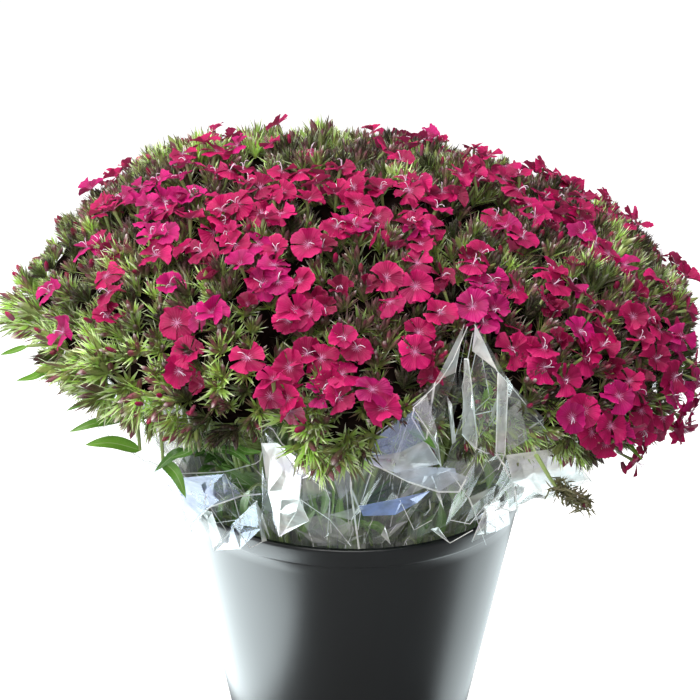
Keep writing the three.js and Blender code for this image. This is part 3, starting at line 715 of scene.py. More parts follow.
# Where the photo shows bright, tall tufts: the middle and the reach in pixels, and how much taller
BRIGHT_TUFTS = """
324,140,28,0.6 322,132,22,0.1 345,134,18,0.6 186,152,18,0.8 160,166,16,0.7
205,142,20,1.0 338,124,16,0.3 446,146,12,0.5 660,450,20,0.7 690,430,18,0.7
610,452,16,0.5 16,340,16,0.7 82,196,12,0.6
440,150,18,0.7 452,142,14,0.5 598,268,22,0.5 124,382,30,0.4 158,410,20,0.3 92,352,26,0.4
60,226,16,0.4 36,318,20,0.4 210,300,14,0.2 395,200,14,0.2 600,222,16,0.3 655,300,14,0.3
300,430,26,0.3 335,446,24,0.4 540,440,22,0.2 120,270,16,0.3 162,262,14,0.3 500,420,22,0.1
150,436,20,0.6 176,452,16,0.6 24,336,16,0.5 626,462,16,0.6 652,458,16,0.6 684,438,16,0.6
222,385,18,0.2 262,150,18,0.4 28,290,14,0.4 70,376,16,0.3 672,420,16,0.4 636,440,14,0.4
"""
# and where they are short: the middle and the reach in pixels, and how much shorter
SHORT_TUFTS = "36,248,30,0.75 108,182,20,0.6 8,300,14,0.4 690,280,20,0.5 692,340,20,0.4 500,160,20,0.3"
TUFT_BUDS = 4
GOLDEN_TURN = 2.4  # from one bract to the next, in radians
# The shares of tufts left out in the gaps between heads, of lit tufts, and of buds with petals
BARE, LIT, BUDDING = 0.58, 0.76, 0.03
# How much smaller tufts near an open floret are, and how near that is
UNDER_FLORET, FLORET_SPACE = 0.72, 0.011
# How a tuft's bracts stand: their number, how far they lean out, how high up they start, their
# length and width, how far the tips bend out, and how many are dark
OUTER = dict(
    each=22, splay=(0.5, 1.5), start=(-0.001, 0.004), length=(0.0095, 0.0155),
    width=(0.0011, 0.0017), bend=(-0.001, 0.003), dark=0.46)
INNER = dict(
    each=30, splay=(0.05, 0.65), start=(0.002, 0.008), length=(0.0075, 0.0130),
    width=(0.0008, 0.0012), bend=(-0.001, 0.002), dark=0.95)
# The rings of a calyx, of rolled petals and of a floret's tube: shares of their length and width
CALYX = [(0.0, 0.7), (0.5, 1.0), (0.8, 0.8), (1.0, 0.12)]
ROLLED = [(0.0, 0.7), (0.35, 1.0), (0.75, 0.85), (1.0, 0.2)]
FLORET_TUBE = [(-1, 0.07), (-0.45, 0.10), (-0.08, 0.13), (0, 0.10)]


def tuft_spots():
    """Directions and falls about one tuft apart all over the dome"""
    draw = rng("tuft_spots")
    fall, rows = 0.0, []
    while fall < TUFT_BOTTOM:
        half = RISE if fall < math.pi / 2 else DROP
        out = RADIUS * math.sin(fall)
        count = max(1, round(2 * math.pi * out / TUFT_SPACING))
        turn = (np.arange(count) + draw.uniform(0, 1)) * 2 * math.pi / count
        jitter = draw.uniform(-0.36, 0.36, (2, count)) * TUFT_SPACING
        rows.append(np.stack([turn + jitter[0] / max(out, 0.01), fall + jitter[1] / 0.2], -1))
        fall += TUFT_SPACING * 0.92 / math.hypot(RADIUS * math.cos(fall), half * math.sin(fall))
    spots = np.concatenate(rows)
    return spots[:, 0], np.abs(spots[:, 1])


def core_inset(points, bunch, direction, fall):
    """How deep the core of the foliage lies: deeper between heads and at a bunch's edge"""
    _, near = nearest_head(points, bunch)
    slope = np.minimum(near / REACH, 1.3)
    pillow = PILLOW * (0.35 + 0.65 * smooth(fall, 45 * degrees, 75 * degrees))
    edge = np.minimum(edge_share(bunch, direction, fall), 1.12)
    return COVER + VALLEY * 1.25 * slope**2 + pillow * edge**8


def greenness(direction, fall):
    """How fresh and green a place of the dome is: the left and the lower edges most"""
    left = smooth(-np.sin(direction), 0.2, 0.9) * smooth(fall, 50 * degrees, 95 * degrees)
    low = smooth(fall, 84 * degrees, 102 * degrees)
    return np.clip(0.25 + 0.55 * left + 0.5 * low, 0, 1)


def near_pixel(x, y, middle_x, middle_y, radius):
    """1 at a pixel of the photo, and less and less around it"""
    return np.exp(-((x - middle_x) ** 2 + (y - middle_y) ** 2) / radius**2)


def grow_tufts(soups):
    """Tufts of bracts and buds all over the dome"""
    direction, fall = tuft_spots()
    bunch = bunch_of(direction, fall)
    surface = on_dome(direction, fall, COVER)
    head, near = nearest_head(surface, bunch)
    draw = rng("tufts")
    # the gaps between heads stay dark with the core's painted shade, and more than half bare
    bare = (near > REACH * 0.93) & (draw.uniform(0, 1, len(near)) < BARE)
    kept = (edge_share(bunch, direction, fall) < 1.03) & ~bare
    direction, fall, bunch, surface, head = (each[kept] for each in (direction, fall, bunch, surface, head))
    count = len(direction)
    inset = core_inset(surface, bunch, direction, fall) + draw.uniform(-0.009, -0.001, count)
    base = under_film(on_dome(direction, fall, inset), TUFTS_UNDER_FILM)
    normal = dome_normal(direction, fall)
    away = surface - CROWNS[head]
    away -= normal * (away * normal).sum(-1, keepdims=True)
    # they stand up, but less so along the dome's lower edge
    upward = 0.5 - 0.45 * smooth(fall, 82 * degrees, 98 * degrees)
    axis = unit(normal + away / REACH * 0.45 + upward[:, None] * [0, 0, 1] + draw.normal(0, 0.2, (count, 3)))
    size = draw.uniform(0.85, 1.15, count) * (1 + 0.2 * smooth(fall, 88 * degrees, 104 * degrees))
    # tufts are shorter under the open florets
    kinds, *spots = floret_spots()
    florets = on_dome(*spots, 0)[kinds != "b"]
    under = np.array([np.linalg.norm(florets - spot, axis=-1).min() for spot in surface])
    size = size * np.where(under < FLORET_SPACE, UNDER_FLORET, 1)
    # the bright and tall tufts that the photo shows, and the short ones
    fresh = greenness(direction, fall)
    lit = draw.uniform(0, 1, count) < LIT
    light = np.where(lit, draw.uniform(0.55, 1.55, count), draw.uniform(0.08, 0.3, count))
    x, y = pixel_of(surface)
    facing = (normal * (EYE - surface)).sum(-1) > -0.15
    for *spot, taller in numbers(BRIGHT_TUFTS):
        near = facing * near_pixel(x, y, *spot)
        fresh = fresh + 1.1 * near
        light = light + 0.7 * near
        size = size * (1 + taller * near)
    for *spot, shorter in numbers(SHORT_TUFTS):
        size = size * (1 - shorter * near_pixel(x, y, *spot))
    # every head has its own shade, and every tuft a little of its own
    shade_of_head = rng("heads").normal(0, 0.2, len(HEADS))[head]
    fresh = np.clip(fresh + shade_of_head + draw.normal(0, 0.16, count), 0, 1)
    light = np.clip(light, 0, 1.6)
    for index, soup in enumerate(soups):
        own = np.flatnonzero(bunch == index)
        tufts = base[own], axis[own], fresh[own], size[own], light[own]
        grow_bracts(soup, tufts, OUTER, rng("outer_bracts", index))
        grow_bracts(soup, tufts, INNER, rng("inner_bracts", index))
        grow_buds(soup, tufts, rng("tuft_buds", index))


def repeated(values, count):
    """Arrays with each of their rows so many times"""
    return [np.repeat(value, count, 0) for value in values]


def lighted(colours, light):
    """Arrays of colours, each row made lighter or darker"""
    return [colour * light[:, None] for colour in colours]


def grow_bracts(soup, tufts, form, draw):
    """The bracts of tufts, which are given by base, axis, freshness, size and light"""
    base, axis, fresh, size, light = repeated(tufts, form["each"])
    count = len(base)

    def drawn(what):
        return draw.uniform(*form[what], count)

    side, front = frames(axis)
    turn = np.tile(np.arange(form["each"]) * GOLDEN_TURN, len(tufts[0])) + draw.uniform(-0.5, 0.5, count)
    out = side * np.cos(turn)[:, None] + front * np.sin(turn)[:, None]
    way = unit(axis + out * drawn("splay")[:, None])
    across = unit(np.cross(axis, out) + axis * draw.uniform(-0.25, 0.25, (count, 1)))
    start = base + axis * (drawn("start") * size)[:, None] + out * 0.0008
    length, width = drawn("length") * size, drawn("width") * size
    bend = out * (drawn("bend") * size)[:, None]
    # some bracts get near-white tips: partly their own pale tips, partly painted highlights
    pale = draw.uniform(0, 1, count) > 0.7
    bright = np.clip(fresh + draw.normal(0, 0.18, count), 0, 1)
    # the roots are painted darker, as shade inside the tuft, the more so on less fresh bracts
    root = mixed(GREEN["base"] * 0.55, GREEN["base"], bright)
    middle = mixed(GREEN["deep"], GREEN["fresh"], bright)
    tip = mixed(GREEN["mid"], GREEN["pale"], np.clip(bright * 1.2 - 0.1, 0, 1))
    tip = mixed(tip, GREEN["haze"], pale * 0.8)
    dark = draw.uniform(0, 1, count) < form["dark"] * (1.35 - bright)
    tip = mixed(tip, mixed(GREEN["tip"], GREEN["dark"], draw.uniform(0, 1, count)), dark)
    middle = mixed(middle, tip, np.where(dark, 0.82, 0.2))
    # the roots darker still: painted shade inside the tuft
    colours = lighted((root * 0.8, middle, tip), light)
    add_blades(soup, start, way, across, length, width, bend, colours)


def grow_buds(soup, tufts, draw):
    """Calyces in the middle of each tuft, closed in a point, or with rolled petals on top"""
    base, axis, fresh, size, light = repeated(tufts, TUFT_BUDS)
    count = len(base)
    axis = unit(axis + draw.normal(0, 0.3, (count, 3)))
    side, _ = frames(axis, draw)
    tall = draw.uniform(0.0100, 0.0160, count) * size
    wide = draw.uniform(0.0012, 0.0021, count) * size
    maroon = draw.uniform(0, 1, count) < 0.98 - 0.55 * fresh
    low = mixed(GREEN["calyx"] * 0.7, GREEN["tip"], maroon * 0.5)
    high = mixed(GREEN["tip"], GREEN["bud"], draw.uniform(0, 0.5, count))
    high = mixed(GREEN["mid"], high, np.where(maroon, 1, 0.3))
    # some end in a pale tip, a painted highlight
    top = mixed(high * 0.8, GREEN["haze"], (draw.uniform(0, 1, count) < 0.35) * 0.7)
    colours = lighted((low, mixed(low, high, 0.5), high, top), light)
    add_spindles(soup, base + axis * 0.002, axis, side, tall, wide, CALYX, colours, BRACT, 5)
    where = np.flatnonzero(draw.uniform(0, 1, count) < BUDDING)
    top = base[where] + axis[where] * (0.002 + tall[where] * 0.75)[:, None]
    add_rolled(soup, top, axis[where], side[where], draw)


def add_rolled(soup, base, axis, side, draw):
    """Rolled petals of a bud about to open, of the soup's first material"""
    count = len(base)
    if not count:
        return
    tall, wide = draw.uniform(0.006, 0.0095, count), draw.uniform(0.0015, 0.0022, count)
    low = mixed(GREEN["tip"], GREEN["bud"], draw.uniform(0, 1, count))
    high = mixed(GREEN["budtip"], GREEN["bud"], draw.uniform(0, 1, count))
    add_spindles(
        soup, base - axis * 0.001, axis, side, tall, wide, ROLLED, (low, low, high, high),
        soup.materials[0], twist=0.35, maps=(0.5, 0.7))


def grow_core(soup, index):
    """The inside of a bunch, a near-black sheet of painted shade that closes the view between the tufts, and
    its skirt
    """
    name, start, end, _ = BUNCHES[index]
    if name == "middle":
        falls, turns = np.linspace(0, MIDDLE_FALL, 9), np.linspace(0, 2 * math.pi, 33)
        neck = place(0.0, 0.0, 0.400)
    else:
        space = BUNCH_SPACE / 2 / RADIUS
        falls = np.linspace(RING_TOP, RING_BOTTOM, 22)
        turns = np.linspace(start * degrees + space, end * degrees - space, 19)
        neck = place(span(index)[0], 0.105, 0.322)
    fall, direction = np.meshgrid(falls, turns, indexing="ij")
    flat = direction.ravel(), fall.ravel()
    surface = on_dome(*flat, COVER)
    inset = core_inset(surface, np.full(fall.size, index), *flat)
    points = under_film(on_dome(*flat, inset), CORE_UNDER_FILM).reshape(*fall.shape, 3)
    # the core's near-black colour is painted shade between the tufts
    soup.add_grid(points, GREEN["core"], CORE)
    if name == "middle":
        border = points[-1, :-1]
    else:
        border = np.concatenate([points[0], points[1:, -1], points[-1, -2::-1], points[-2:0:-1, 0]])
    skirt = np.stack([border + (neck - border) * share for share in (0, 0.3, 0.6, 0.85, 1)])
    soup.add_grid(skirt, GREEN["under"], CORE, closed=True)


# Stems and leaves
def tube(soup, path, radius, colour, made_of, sides=6):
    """A stem or a style along a line of places"""
    way = unit(np.gradient(path, axis=0))
    side = unit(np.cross([0.02, 1, 0.05], way))
    points = path[:, None] + rings(side, np.cross(way, side), sides) * radius[:, None, None]
    soup.add_grid(points, colour, made_of, closed=True)


def curve(points, count):
    """A smooth line through a few places"""
    points = np.asarray(points)
    ends = np.concatenate([[2 * points[0] - points[1]], points, [2 * points[-1] - points[-2]]])
    made = []
    for spot in np.linspace(0, len(points) - 1.001, count):
        k, t = int(spot), spot - int(spot)
        a, b, c, d = ends[k : k + 4]
        square, cube = 2 * a - 5 * b + 4 * c - d, 3 * b - a - 3 * c + d
        made.append(0.5 * (2 * b + (c - a) * t + square * t**2 + cube * t**3))
    return np.array(made)


LEAF_ROWS = 11
LEAF_ACROSS = np.array([-1, -0.5, -0.09, 0, 0.09, 0.5, 1])


def leaf(soup, path, width, up, colour, edge, fold=0.3, twist=0.0):
    """A long pointed leaf along a line, with a sunken midrib"""
    line = curve(path, LEAF_ROWS)
    way = unit(np.gradient(line, axis=0))
    side = unit(np.cross(way, up))
    top = np.cross(side, way)
    share = np.linspace(0, 1, LEAF_ROWS)
    turn = (twist * share)[:, None]
    side, top = side * np.cos(turn) + top * np.sin(turn), top * np.cos(turn) - side * np.sin(turn)
    half = width / 2 * (share + 0.004) ** 0.5 * (1.002 - share) ** 0.85 / 0.44
    u = LEAF_ACROSS
    points = line[:, None] + side[:, None] * (half[:, None] * u)[..., None]
    points += top[:, None] * (half[:, None] * fold * np.abs(u) ** 1.3)[..., None]
    paint = mixed(colour, edge, np.abs(u) ** 2 * 0.35)
    # a pale midrib: partly its own colour, partly a painted highlight
    rib_and_highlight = mixed(paint, GREEN["pale"], (u == 0) * 0.5)
    maps = np.stack(np.broadcast_arrays((u * 0.5 + 0.5)[None], share[:, None]), -1)
    soup.add_grid(points, rib_and_highlight, LEAF, maps)


# A stem's places below its head: the share of the way towards the head's direction, distance out
# in the ring and in the middle, height, and how much of the stem's own offset each has
STEM_PATH = [
    (0, 0.058, 0.0, FLOOR + 0.003, 1.2), (0.35, 0.098, 0.004, 0.255, 1), (0.6, 0.112, 0.01, 0.300, 1),
]
STEM_ROWS, LEAF_JOINTS = 12, (5, 7, 8)


def grow_stems(soup, index):
    """The stems of a bunch, from the floor of the bucket through its neck to its heads"""
    draw = rng("stems", index)
    middle = span(index)[0]
    ring = index != MIDDLE
    for _, direction, fall, _ in HEADS[HEADS[:, 0] == index]:
        for _ in range(2 if ring else 1):
            spread = draw.uniform(-0.011, 0.011, 3) * [1, 1, 0]
            line = []
            for share, ring_out, middle_out, height, wide in STEM_PATH:
                turn = middle + short_way(direction - middle) * share
                line.append(place(turn, ring_out if ring else middle_out, height) + spread * wide)
            line.append(on_dome(direction, min(fall, 100 * degrees), 0.085) + spread)
            line.append(on_dome(direction + draw.normal(0, 0.03), fall, 0.024))
            line = curve(line, STEM_ROWS)
            paint = mixed(GREEN["stem"], GREEN["leafdark"], draw.uniform(0, 0.7))
            tube(soup, line, np.linspace(0.0021, 0.0014, STEM_ROWS), paint, LEAF)
            if ring:
                hang_leaves(soup, line, direction, draw)


def hang_leaves(soup, line, direction, draw):
    """Pairs of leaves at the joints of a stem above the rim"""
    outward = np.array([math.sin(direction), -math.cos(direction), 0])
    across = np.array([math.cos(direction), math.sin(direction), 0])
    for joint in LEAF_JOINTS:
        root = line[joint]
        for hand in (-1, 1):
            way = outward * draw.uniform(0.1, 0.6) + across * hand * draw.uniform(0.3, 1.0)
            way = unit(way + [0, 0, draw.uniform(0.2, 1.1)])
            size = draw.uniform(0.035, 0.06)
            droop = np.array([0, 0, -size * draw.uniform(0.05, 0.35)])
            path = [root, root + way * size * 0.5, root + way * size + droop]
            paint = mixed(GREEN["leafdark"], GREEN["leaf"], draw.uniform(0, 1))
            width = draw.uniform(0.007, 0.012)
            leaf(soup, path, width, [0, 0, 1], paint, GREEN["deep"], twist=draw.normal(0, 0.5))


# The leaves that the photo shows at the left: width in millimetres, how dark, and the pixels and
# distances out in millimetres from root to tip
PHOTO_LEAVES = """
6.5 0.1 50,367,266 34,377,280 16,381,296
5 0.2 27,346,280 14,351,292 0,355,304
7.5 0.2 122,420,228 96,423,250 69,432,268
11 0.0 140,450,224 112,443,246 85,445,264
8 0.8 187,452,222 174,455,230 154,472,236
9.5 0.3 163,462,222 176,474,232 186,498,232
7 0.8 212,450,222 232,451,230 252,466,234
6 0.4 108,406,232 88,402,250 66,411,264
6 0.6 200,440,226 188,452,234 170,458,238
6 0.7 236,446,226 246,452,232 262,452,234
5 0.5 298,400,246 290,392,254 280,384,262
6 0.6 408,430,236 424,437,240 436,449,242
"""
# Leaves and stems close behind the front sleeves: width in millimetres, how dark, and the pixels
# from root to tip; the narrow ones are stems
UNDER_LEAVES = {
    "front": """
        2.6 0.0 334,454 334,480 333,507 329,536
        2.6 0.1 313,496 318,515 324,534
        6 0.6 305,478 312,500 306,530
        7 0.5 322,482 326,500 320,520
        8 0.3 350,540 340,515 341,492
        7 0.4 300,540 306,520 318,506
        8 0.2 372,545 366,528 360,520
        8 0.5 390,540 378,526 364,524
        9 0.0 446,486 454,498 458,514
        8 0.2 462,486 458,500 450,520
        8 0.5 436,540 442,520 440,500
        8 0.6 418,545 424,528 436,514
    """,
    "right_front": """
        8 0.1 484,460 490,472 488,490
        7 0.1 502,486 508,494 514,506
        8 0.4 470,540 476,520 474,500
        8 0.6 458,540 462,528 474,516
        7 0.0 490,386 486,400 489,424
        6 0.1 484,446 480,430 484,412
    """,
    "left_front": """
        7 0.6 230,500 236,516 228,540
        7 0.5 250,490 244,508 250,530
        7 0.4 222,500 220,520 216,540
        8 0.2 188,486 196,500 192,520
        10 0.0 213,520 209,534 201,547
        6 0.1 192,516 190,530 188,545
    """,
}
# Long leaves elsewhere: direction at the root and at the tip, distance out and height of the tip
LONG_LEAVES = {
    "right_front": (48, 49, 0.258, 0.378), "right_back": (84, 83, 0.288, 0.380),
    "back_right": (150, 146, 0.284, 0.376), "back_left": (212, 216, 0.286, 0.380),
    "left_back": (264, 260, 0.288, 0.384),
}


def leaf_paint(dark, fresh):
    """The colour of a leaf by how dark it is, and how fresh the light ones are"""
    return mixed(mixed(GREEN["leaf"], GREEN["leafdark"], dark), GREEN["fresh"], fresh * (1 - dark))


def stalk(soup, root, carrier):
    """A short stem from a leaf's root back into the foliage"""
    line = curve([carrier, (carrier + root) / 2 + [0, 0, 0.004], root], 6)
    tube(soup, line, np.linspace(0.0018, 0.0012, 6), GREEN["stem"] * 0.8, LEAF)


def grow_under_leaves(soups):
    """The leaves and stems close behind the front sleeves"""
    draw = rng("under_leaves")
    for name, table in UNDER_LEAVES.items():
        soup = soups[NAMES.index(name)]
        for width, dark, spots in rows_of(table):
            path = film_under_pixels(name, spots, LEAF_LIFT)
            turned = unit(EYE - path[1]) + draw.normal(0, 0.3, 3)
            direction, out, height = upright(path[0])
            stalk(soup, path[0], place(direction, out - 0.025, height - 0.008))
            leaf(soup, path, width / 1000, turned, leaf_paint(dark, 0.5), GREEN["leafdark"])


def grow_photo_leaves(soups):
    """The leaves of the left side, on the bunch that each one's root belongs to"""
    draw = rng("photo_leaves")
    for width, dark, spots in rows_of(PHOTO_LEAVES):
        path = at_pixels(spots)
        turned = unit(EYE - path[1]) + [draw.normal(0, 0.2), 0, 0.5]
        direction = upright(path[0])[0]
        soup = soups[int(bunch_of(direction, 90 * degrees))]
        stalk(soup, path[0], on_dome(direction, 97 * degrees, 0.035))
        paint, twist = leaf_paint(dark, 0.25), draw.normal(0, 0.25)
        leaf(soup, path, width / 1000, turned, paint, GREEN["leafdark"], twist=twist)


def grow_long_leaves(soup, index):
    """A long leaf of a bunch, and a shorter one under it"""
    draw = rng("long_leaves", index)
    start, end, out, height = LONG_LEAVES[NAMES[index]]
    root, tip = place(start * degrees, 0.180, 0.399), place(end * degrees, out, height)
    middle = (root + tip) / 2 + [0, 0, 0.010]
    for twin in range(2):
        off = draw.normal(0, 0.004, 3) + np.array([0, 0, -0.004 * twin])
        reach = tip + (root - tip) * 0.25 + draw.normal(0, 0.008, 3) if twin else tip
        paint = mixed(GREEN["leaf"], GREEN["fresh"], draw.uniform(0, 0.6))
        leaf(soup, [root + off, middle + off, reach], 0.0145, [0, 0, 1], paint, GREEN["leafdark"], 0.25)


# The wilted head's bent stem: pixel and distance out in millimetres, and where the head points
WILTED_STEM = "533,450,228 541,463,236 548,475,240 556,487,240"
WILTED_TIP = "592,507,244"
WILTED_BRACTS = 420


def grow_wilted(soup):
    """The wilted head that hangs out of the right sleeve on its bent stem"""
    line = curve(at_pixels(numbers(WILTED_STEM)), 10)
    tube(soup, line, np.linspace(0.0017, 0.0012, 10), GREEN["stem"], LEAF)
    end = line[-1]
    draw = rng("wilted")
    each = (WILTED_BRACTS, 3)
    heart = at_pixels(numbers(WILTED_TIP))[0] - end
    reach = np.linalg.norm(heart)
    heart = heart / reach
    spine = end + heart * draw.uniform(-0.002, reach * 0.85, (WILTED_BRACTS, 1))
    spine = spine + draw.normal(0, 0.0028, each)
    way = unit(heart * 0.75 + draw.normal(0, 0.6, each))
    side, _ = frames(way, draw)
    length = draw.uniform(0.004, 0.0095, WILTED_BRACTS)
    paint = mixed(GREEN["brown"], GREEN["browndark"], draw.uniform(0, 1, WILTED_BRACTS))
    paint = mixed(paint, GREEN["mid"], draw.uniform(0, 0.3, WILTED_BRACTS))
    width, bend = np.full(WILTED_BRACTS, 0.0013), draw.normal(0, 0.002, each)
    add_blades(soup, spine, way, side, length, width, bend, (paint, paint, paint * 0.8))
    # one petal is still pink
    spot = (end + heart * reach * 0.72)[None] - [[0, 0.004, 0]]
    side, _ = frames(heart[None], draw)
    add_rolled(soup, spot, heart[None], side, draw)


# Florets: the points of a petal, v from the throat to the edge and u across
PETALS = 5
PETAL_V, PETAL_U = np.meshgrid(
    [0, 0.10, 0.24, 0.42, 0.62, 0.82, 0.94, 1.0], np.linspace(-1, 1, 11), indexing="ij")
PETAL_FACES = [face[::-1] for face in grid_faces(*PETAL_V.shape)]
PETAL_MAP = np.stack([PETAL_U * 0.5 + 0.5, PETAL_V], -1).reshape(1, -1, 2)
TUBE_LENGTH = 0.016
# How far round a head florets stand where the photo doesn't show them, how many more than in the
# part's source there are, and the share of florets with styles
FLORET_REACH, FAR_COUNT, STYLED = 0.034, 2.2, 0.42


def petal_shapes(radius, cup, draw):
    """Broad toothed petals: how far their points are to the side, to the front and up"""
    v, u = PETAL_V, PETAL_U
    count = len(radius)
    each = (count, PETALS, 1, 1)
    size = radius[:, None, None, None] * draw.uniform(0.92, 1.06, each)
    tilt = cup[:, None, None, None] + draw.normal(0, 0.26, each)
    recurve = draw.uniform(-0.05, 0.36, each)
    phase = draw.uniform(0, 2 * math.pi, each)
    twist = draw.normal(0.1, 0.2, each)
    teeth = np.where(v == 1, draw.uniform(-0.07, 0.045, (count, PETALS, 1, v.shape[1])), 0)
    along = size * (0.02 + 0.98 * v * (1 - 0.22 * np.abs(u) ** 2.4 * v**2 + teeth))
    broad = draw.uniform(0.84, 1.06, (count, 1, 1, 1)) * np.clip(1 - 0.3 * tilt, 0.5, 1.0)
    across = size * (0.05 + 0.73 * v**1.04) * u * broad * (1 - 0.08 * v**4)
    rise = size * (-recurve * v**2 - 0.09 * (1 - u**2) * v + 0.09 * np.sin(2.3 * u + phase) * v**2)
    rise = rise + size * (0.05 * np.sin(7 * u + 2 * phase) * v**3 + twist * u * v)
    out = along * np.cos(tilt) - rise * np.sin(tilt)
    up = along * np.sin(tilt) + rise * np.cos(tilt)
    turn = (2 * math.pi * np.arange(PETALS) / PETALS)[:, None, None] + draw.normal(0, 0.06, each)
    return out * np.cos(turn) - across * np.sin(turn), out * np.sin(turn) + across * np.cos(turn), up


def add_florets(soup, face, axis, radius, cup, paint, draw, styles):
    """Florets with five petals. face is the middle of each, on top of its tube."""
    count = len(face)
    side, front = frames(axis, draw)
    x, y, up = (each[..., None] for each in petal_shapes(radius, cup, draw))
    middle, right, ahead, top = (each[:, None, None, None] for each in (face, side, front, axis))
    points = (middle + right * x + ahead * y + top * up).reshape(count * PETALS, -1, 3)
    own = np.repeat(paint, PETALS, 0) * draw.uniform(0.62, 1.28, (count * PETALS, 1))
    # petals darker towards the throat: partly their own darker eye, partly painted shade in the throat
    shade = own[:, None] * (0.66 + 0.44 * PETAL_V.reshape(-1))[None, :, None]
    soup.add(points, PETAL_FACES, shade, PETAL, PETAL_MAP, soft=True)
    # the tube under the petals
    low = np.tile(GREEN["calyx"], (count, 1))
    high = mixed(low, GREEN["tip"], draw.uniform(0.1, 0.8, count))
    colours = low * 0.5, low * 0.75, high, np.tile(ROSE["deep"], (count, 1))
    tall = np.full(count, TUBE_LENGTH)
    add_spindles(soup, face, axis, side, tall, radius, FLORET_TUBE, colours, BRACT)
    # two pale curling styles
    t = np.linspace(0, 1, 6)[:, None]
    for number in np.flatnonzero(styles):
        for _ in range(2):
            turn = draw.uniform(0, 2 * math.pi)
            lean = side[number] * math.cos(turn) + front[number] * math.sin(turn)
            reach, tall = draw.uniform(0.003, 0.006), draw.uniform(0.004, 0.007)
            line = face[number] + axis[number] * (tall * np.sin(t * 2.1)) + lean * (reach * t**1.6)
            tube(soup, line, np.linspace(0.00032, 0.0002, 6), (1, 1, 1), STYLE, 4)


def photo_florets():
    """Kind, direction and fall of the florets that the photo shows"""
    words = FLORETS.split()
    kinds = np.array([word[0] for word in words])
    return kinds, *dome_at_pixels(numbers(" ".join(word[1:] for word in words)))


def far_florets():
    """Florets on the heads that the photo doesn't show, by a rule"""
    draw = rng("far_florets")
    kinds, directions, falls = [], [], []
    for _, direction, fall, count in HEADS:
        for _ in range(int(round(count * FAR_COUNT)) + (draw.uniform() < 0.5)):
            reach = FLORET_REACH * math.sqrt(draw.uniform()) / RADIUS
            turn = draw.uniform(0, 2 * math.pi)
            there = fall + reach * math.cos(turn) * 1.3
            kinds.append("ooopcb"[draw.integers(6)])
            directions.append(direction + reach * math.sin(turn) / max(math.sin(max(there, 0.1)), 0.2))
            falls.append(abs(there))
    direction, fall = np.array(directions), np.array(falls)
    facing = (unit(EYE - on_dome(direction, fall, 0)) * dome_normal(direction, fall)).sum(-1)
    hidden = facing < 0.04
    return np.array(kinds)[hidden], direction[hidden], fall[hidden]


def floret_spots():
    """Kind, direction and fall of every floret"""
    return (np.concatenate(pair) for pair in zip(photo_florets(), far_florets()))


def grow_florets(soups):
    """All florets, and the rolled petals of the buds"""
    kinds, direction, fall = floret_spots()
    bunch = bunch_of(direction, fall)
    normal = dome_normal(direction, fall)
    cupped, stalked = kinds == "c", kinds == "s"
    draw = rng("florets")
    count = len(kinds)
    axis = unit(normal + [0, 0, 0.28] + draw.normal(0, 0.34, (count, 3)))
    axis = np.where(stalked[:, None], unit(normal * 0.3 + [0, 0, 1]), axis)
    inset = np.where(cupped, 0.006, draw.uniform(-0.004, 0.005, count))
    face = on_dome(direction, fall, np.where(stalked, 0.001, inset))
    paint = mixed(ROSE["open"], ROSE["deep"], draw.uniform(0, 0.5, count))
    paint = mixed(paint, ROSE["light"], (draw.uniform(0, 1, count) < 0.25) * 0.6)
    paint = np.where((kinds == "p")[:, None], ROSE["pink"], paint)
    # cupped florets are painted darker: painted shade in their cups
    paint = np.where(cupped[:, None], ROSE["cup"], paint)
    cup = np.where(cupped, 0.95, draw.uniform(0.0, 0.62, count))
    radius = np.where(cupped, 0.0094, draw.uniform(0.0101, 0.0124, count))
    styles = draw.uniform(0, 1, count) < STYLED
    for index, soup in enumerate(soups):
        own = (bunch == index) & (kinds != "b")
        if own.any():
            add_florets(soup, face[own], axis[own], radius[own], cup[own], paint[own], draw, styles[own])
        buds = (bunch == index) & (kinds == "b")
        side, _ = frames(axis[buds], draw)
        add_rolled(soup, face[buds] - axis[buds] * 0.003, axis[buds], side, draw)


# Film sleeves
# The top edges of the front sleeves as the photo shows them, from left to right: the pixel, and
# how far out from the bucket's axis the film is there, in millimetres
SLEEVE_EDGES = {
    "left_front": "85,418,246 134,455,228 179,474,218 225,472,214 259,463,214 263,446,220",
    "front": "259,434,226 270,426,228 281,444,224 321,472,216 350,455,224 398,418,244 428,394,256"
             " 439,383,260 452,364,264 468,327,268",
    "right_front": "475,325,270 484,342,268 497,371,264 510,385,258 535,416,246 555,443,234"
                   " 569,458,228 593,483,216",
}
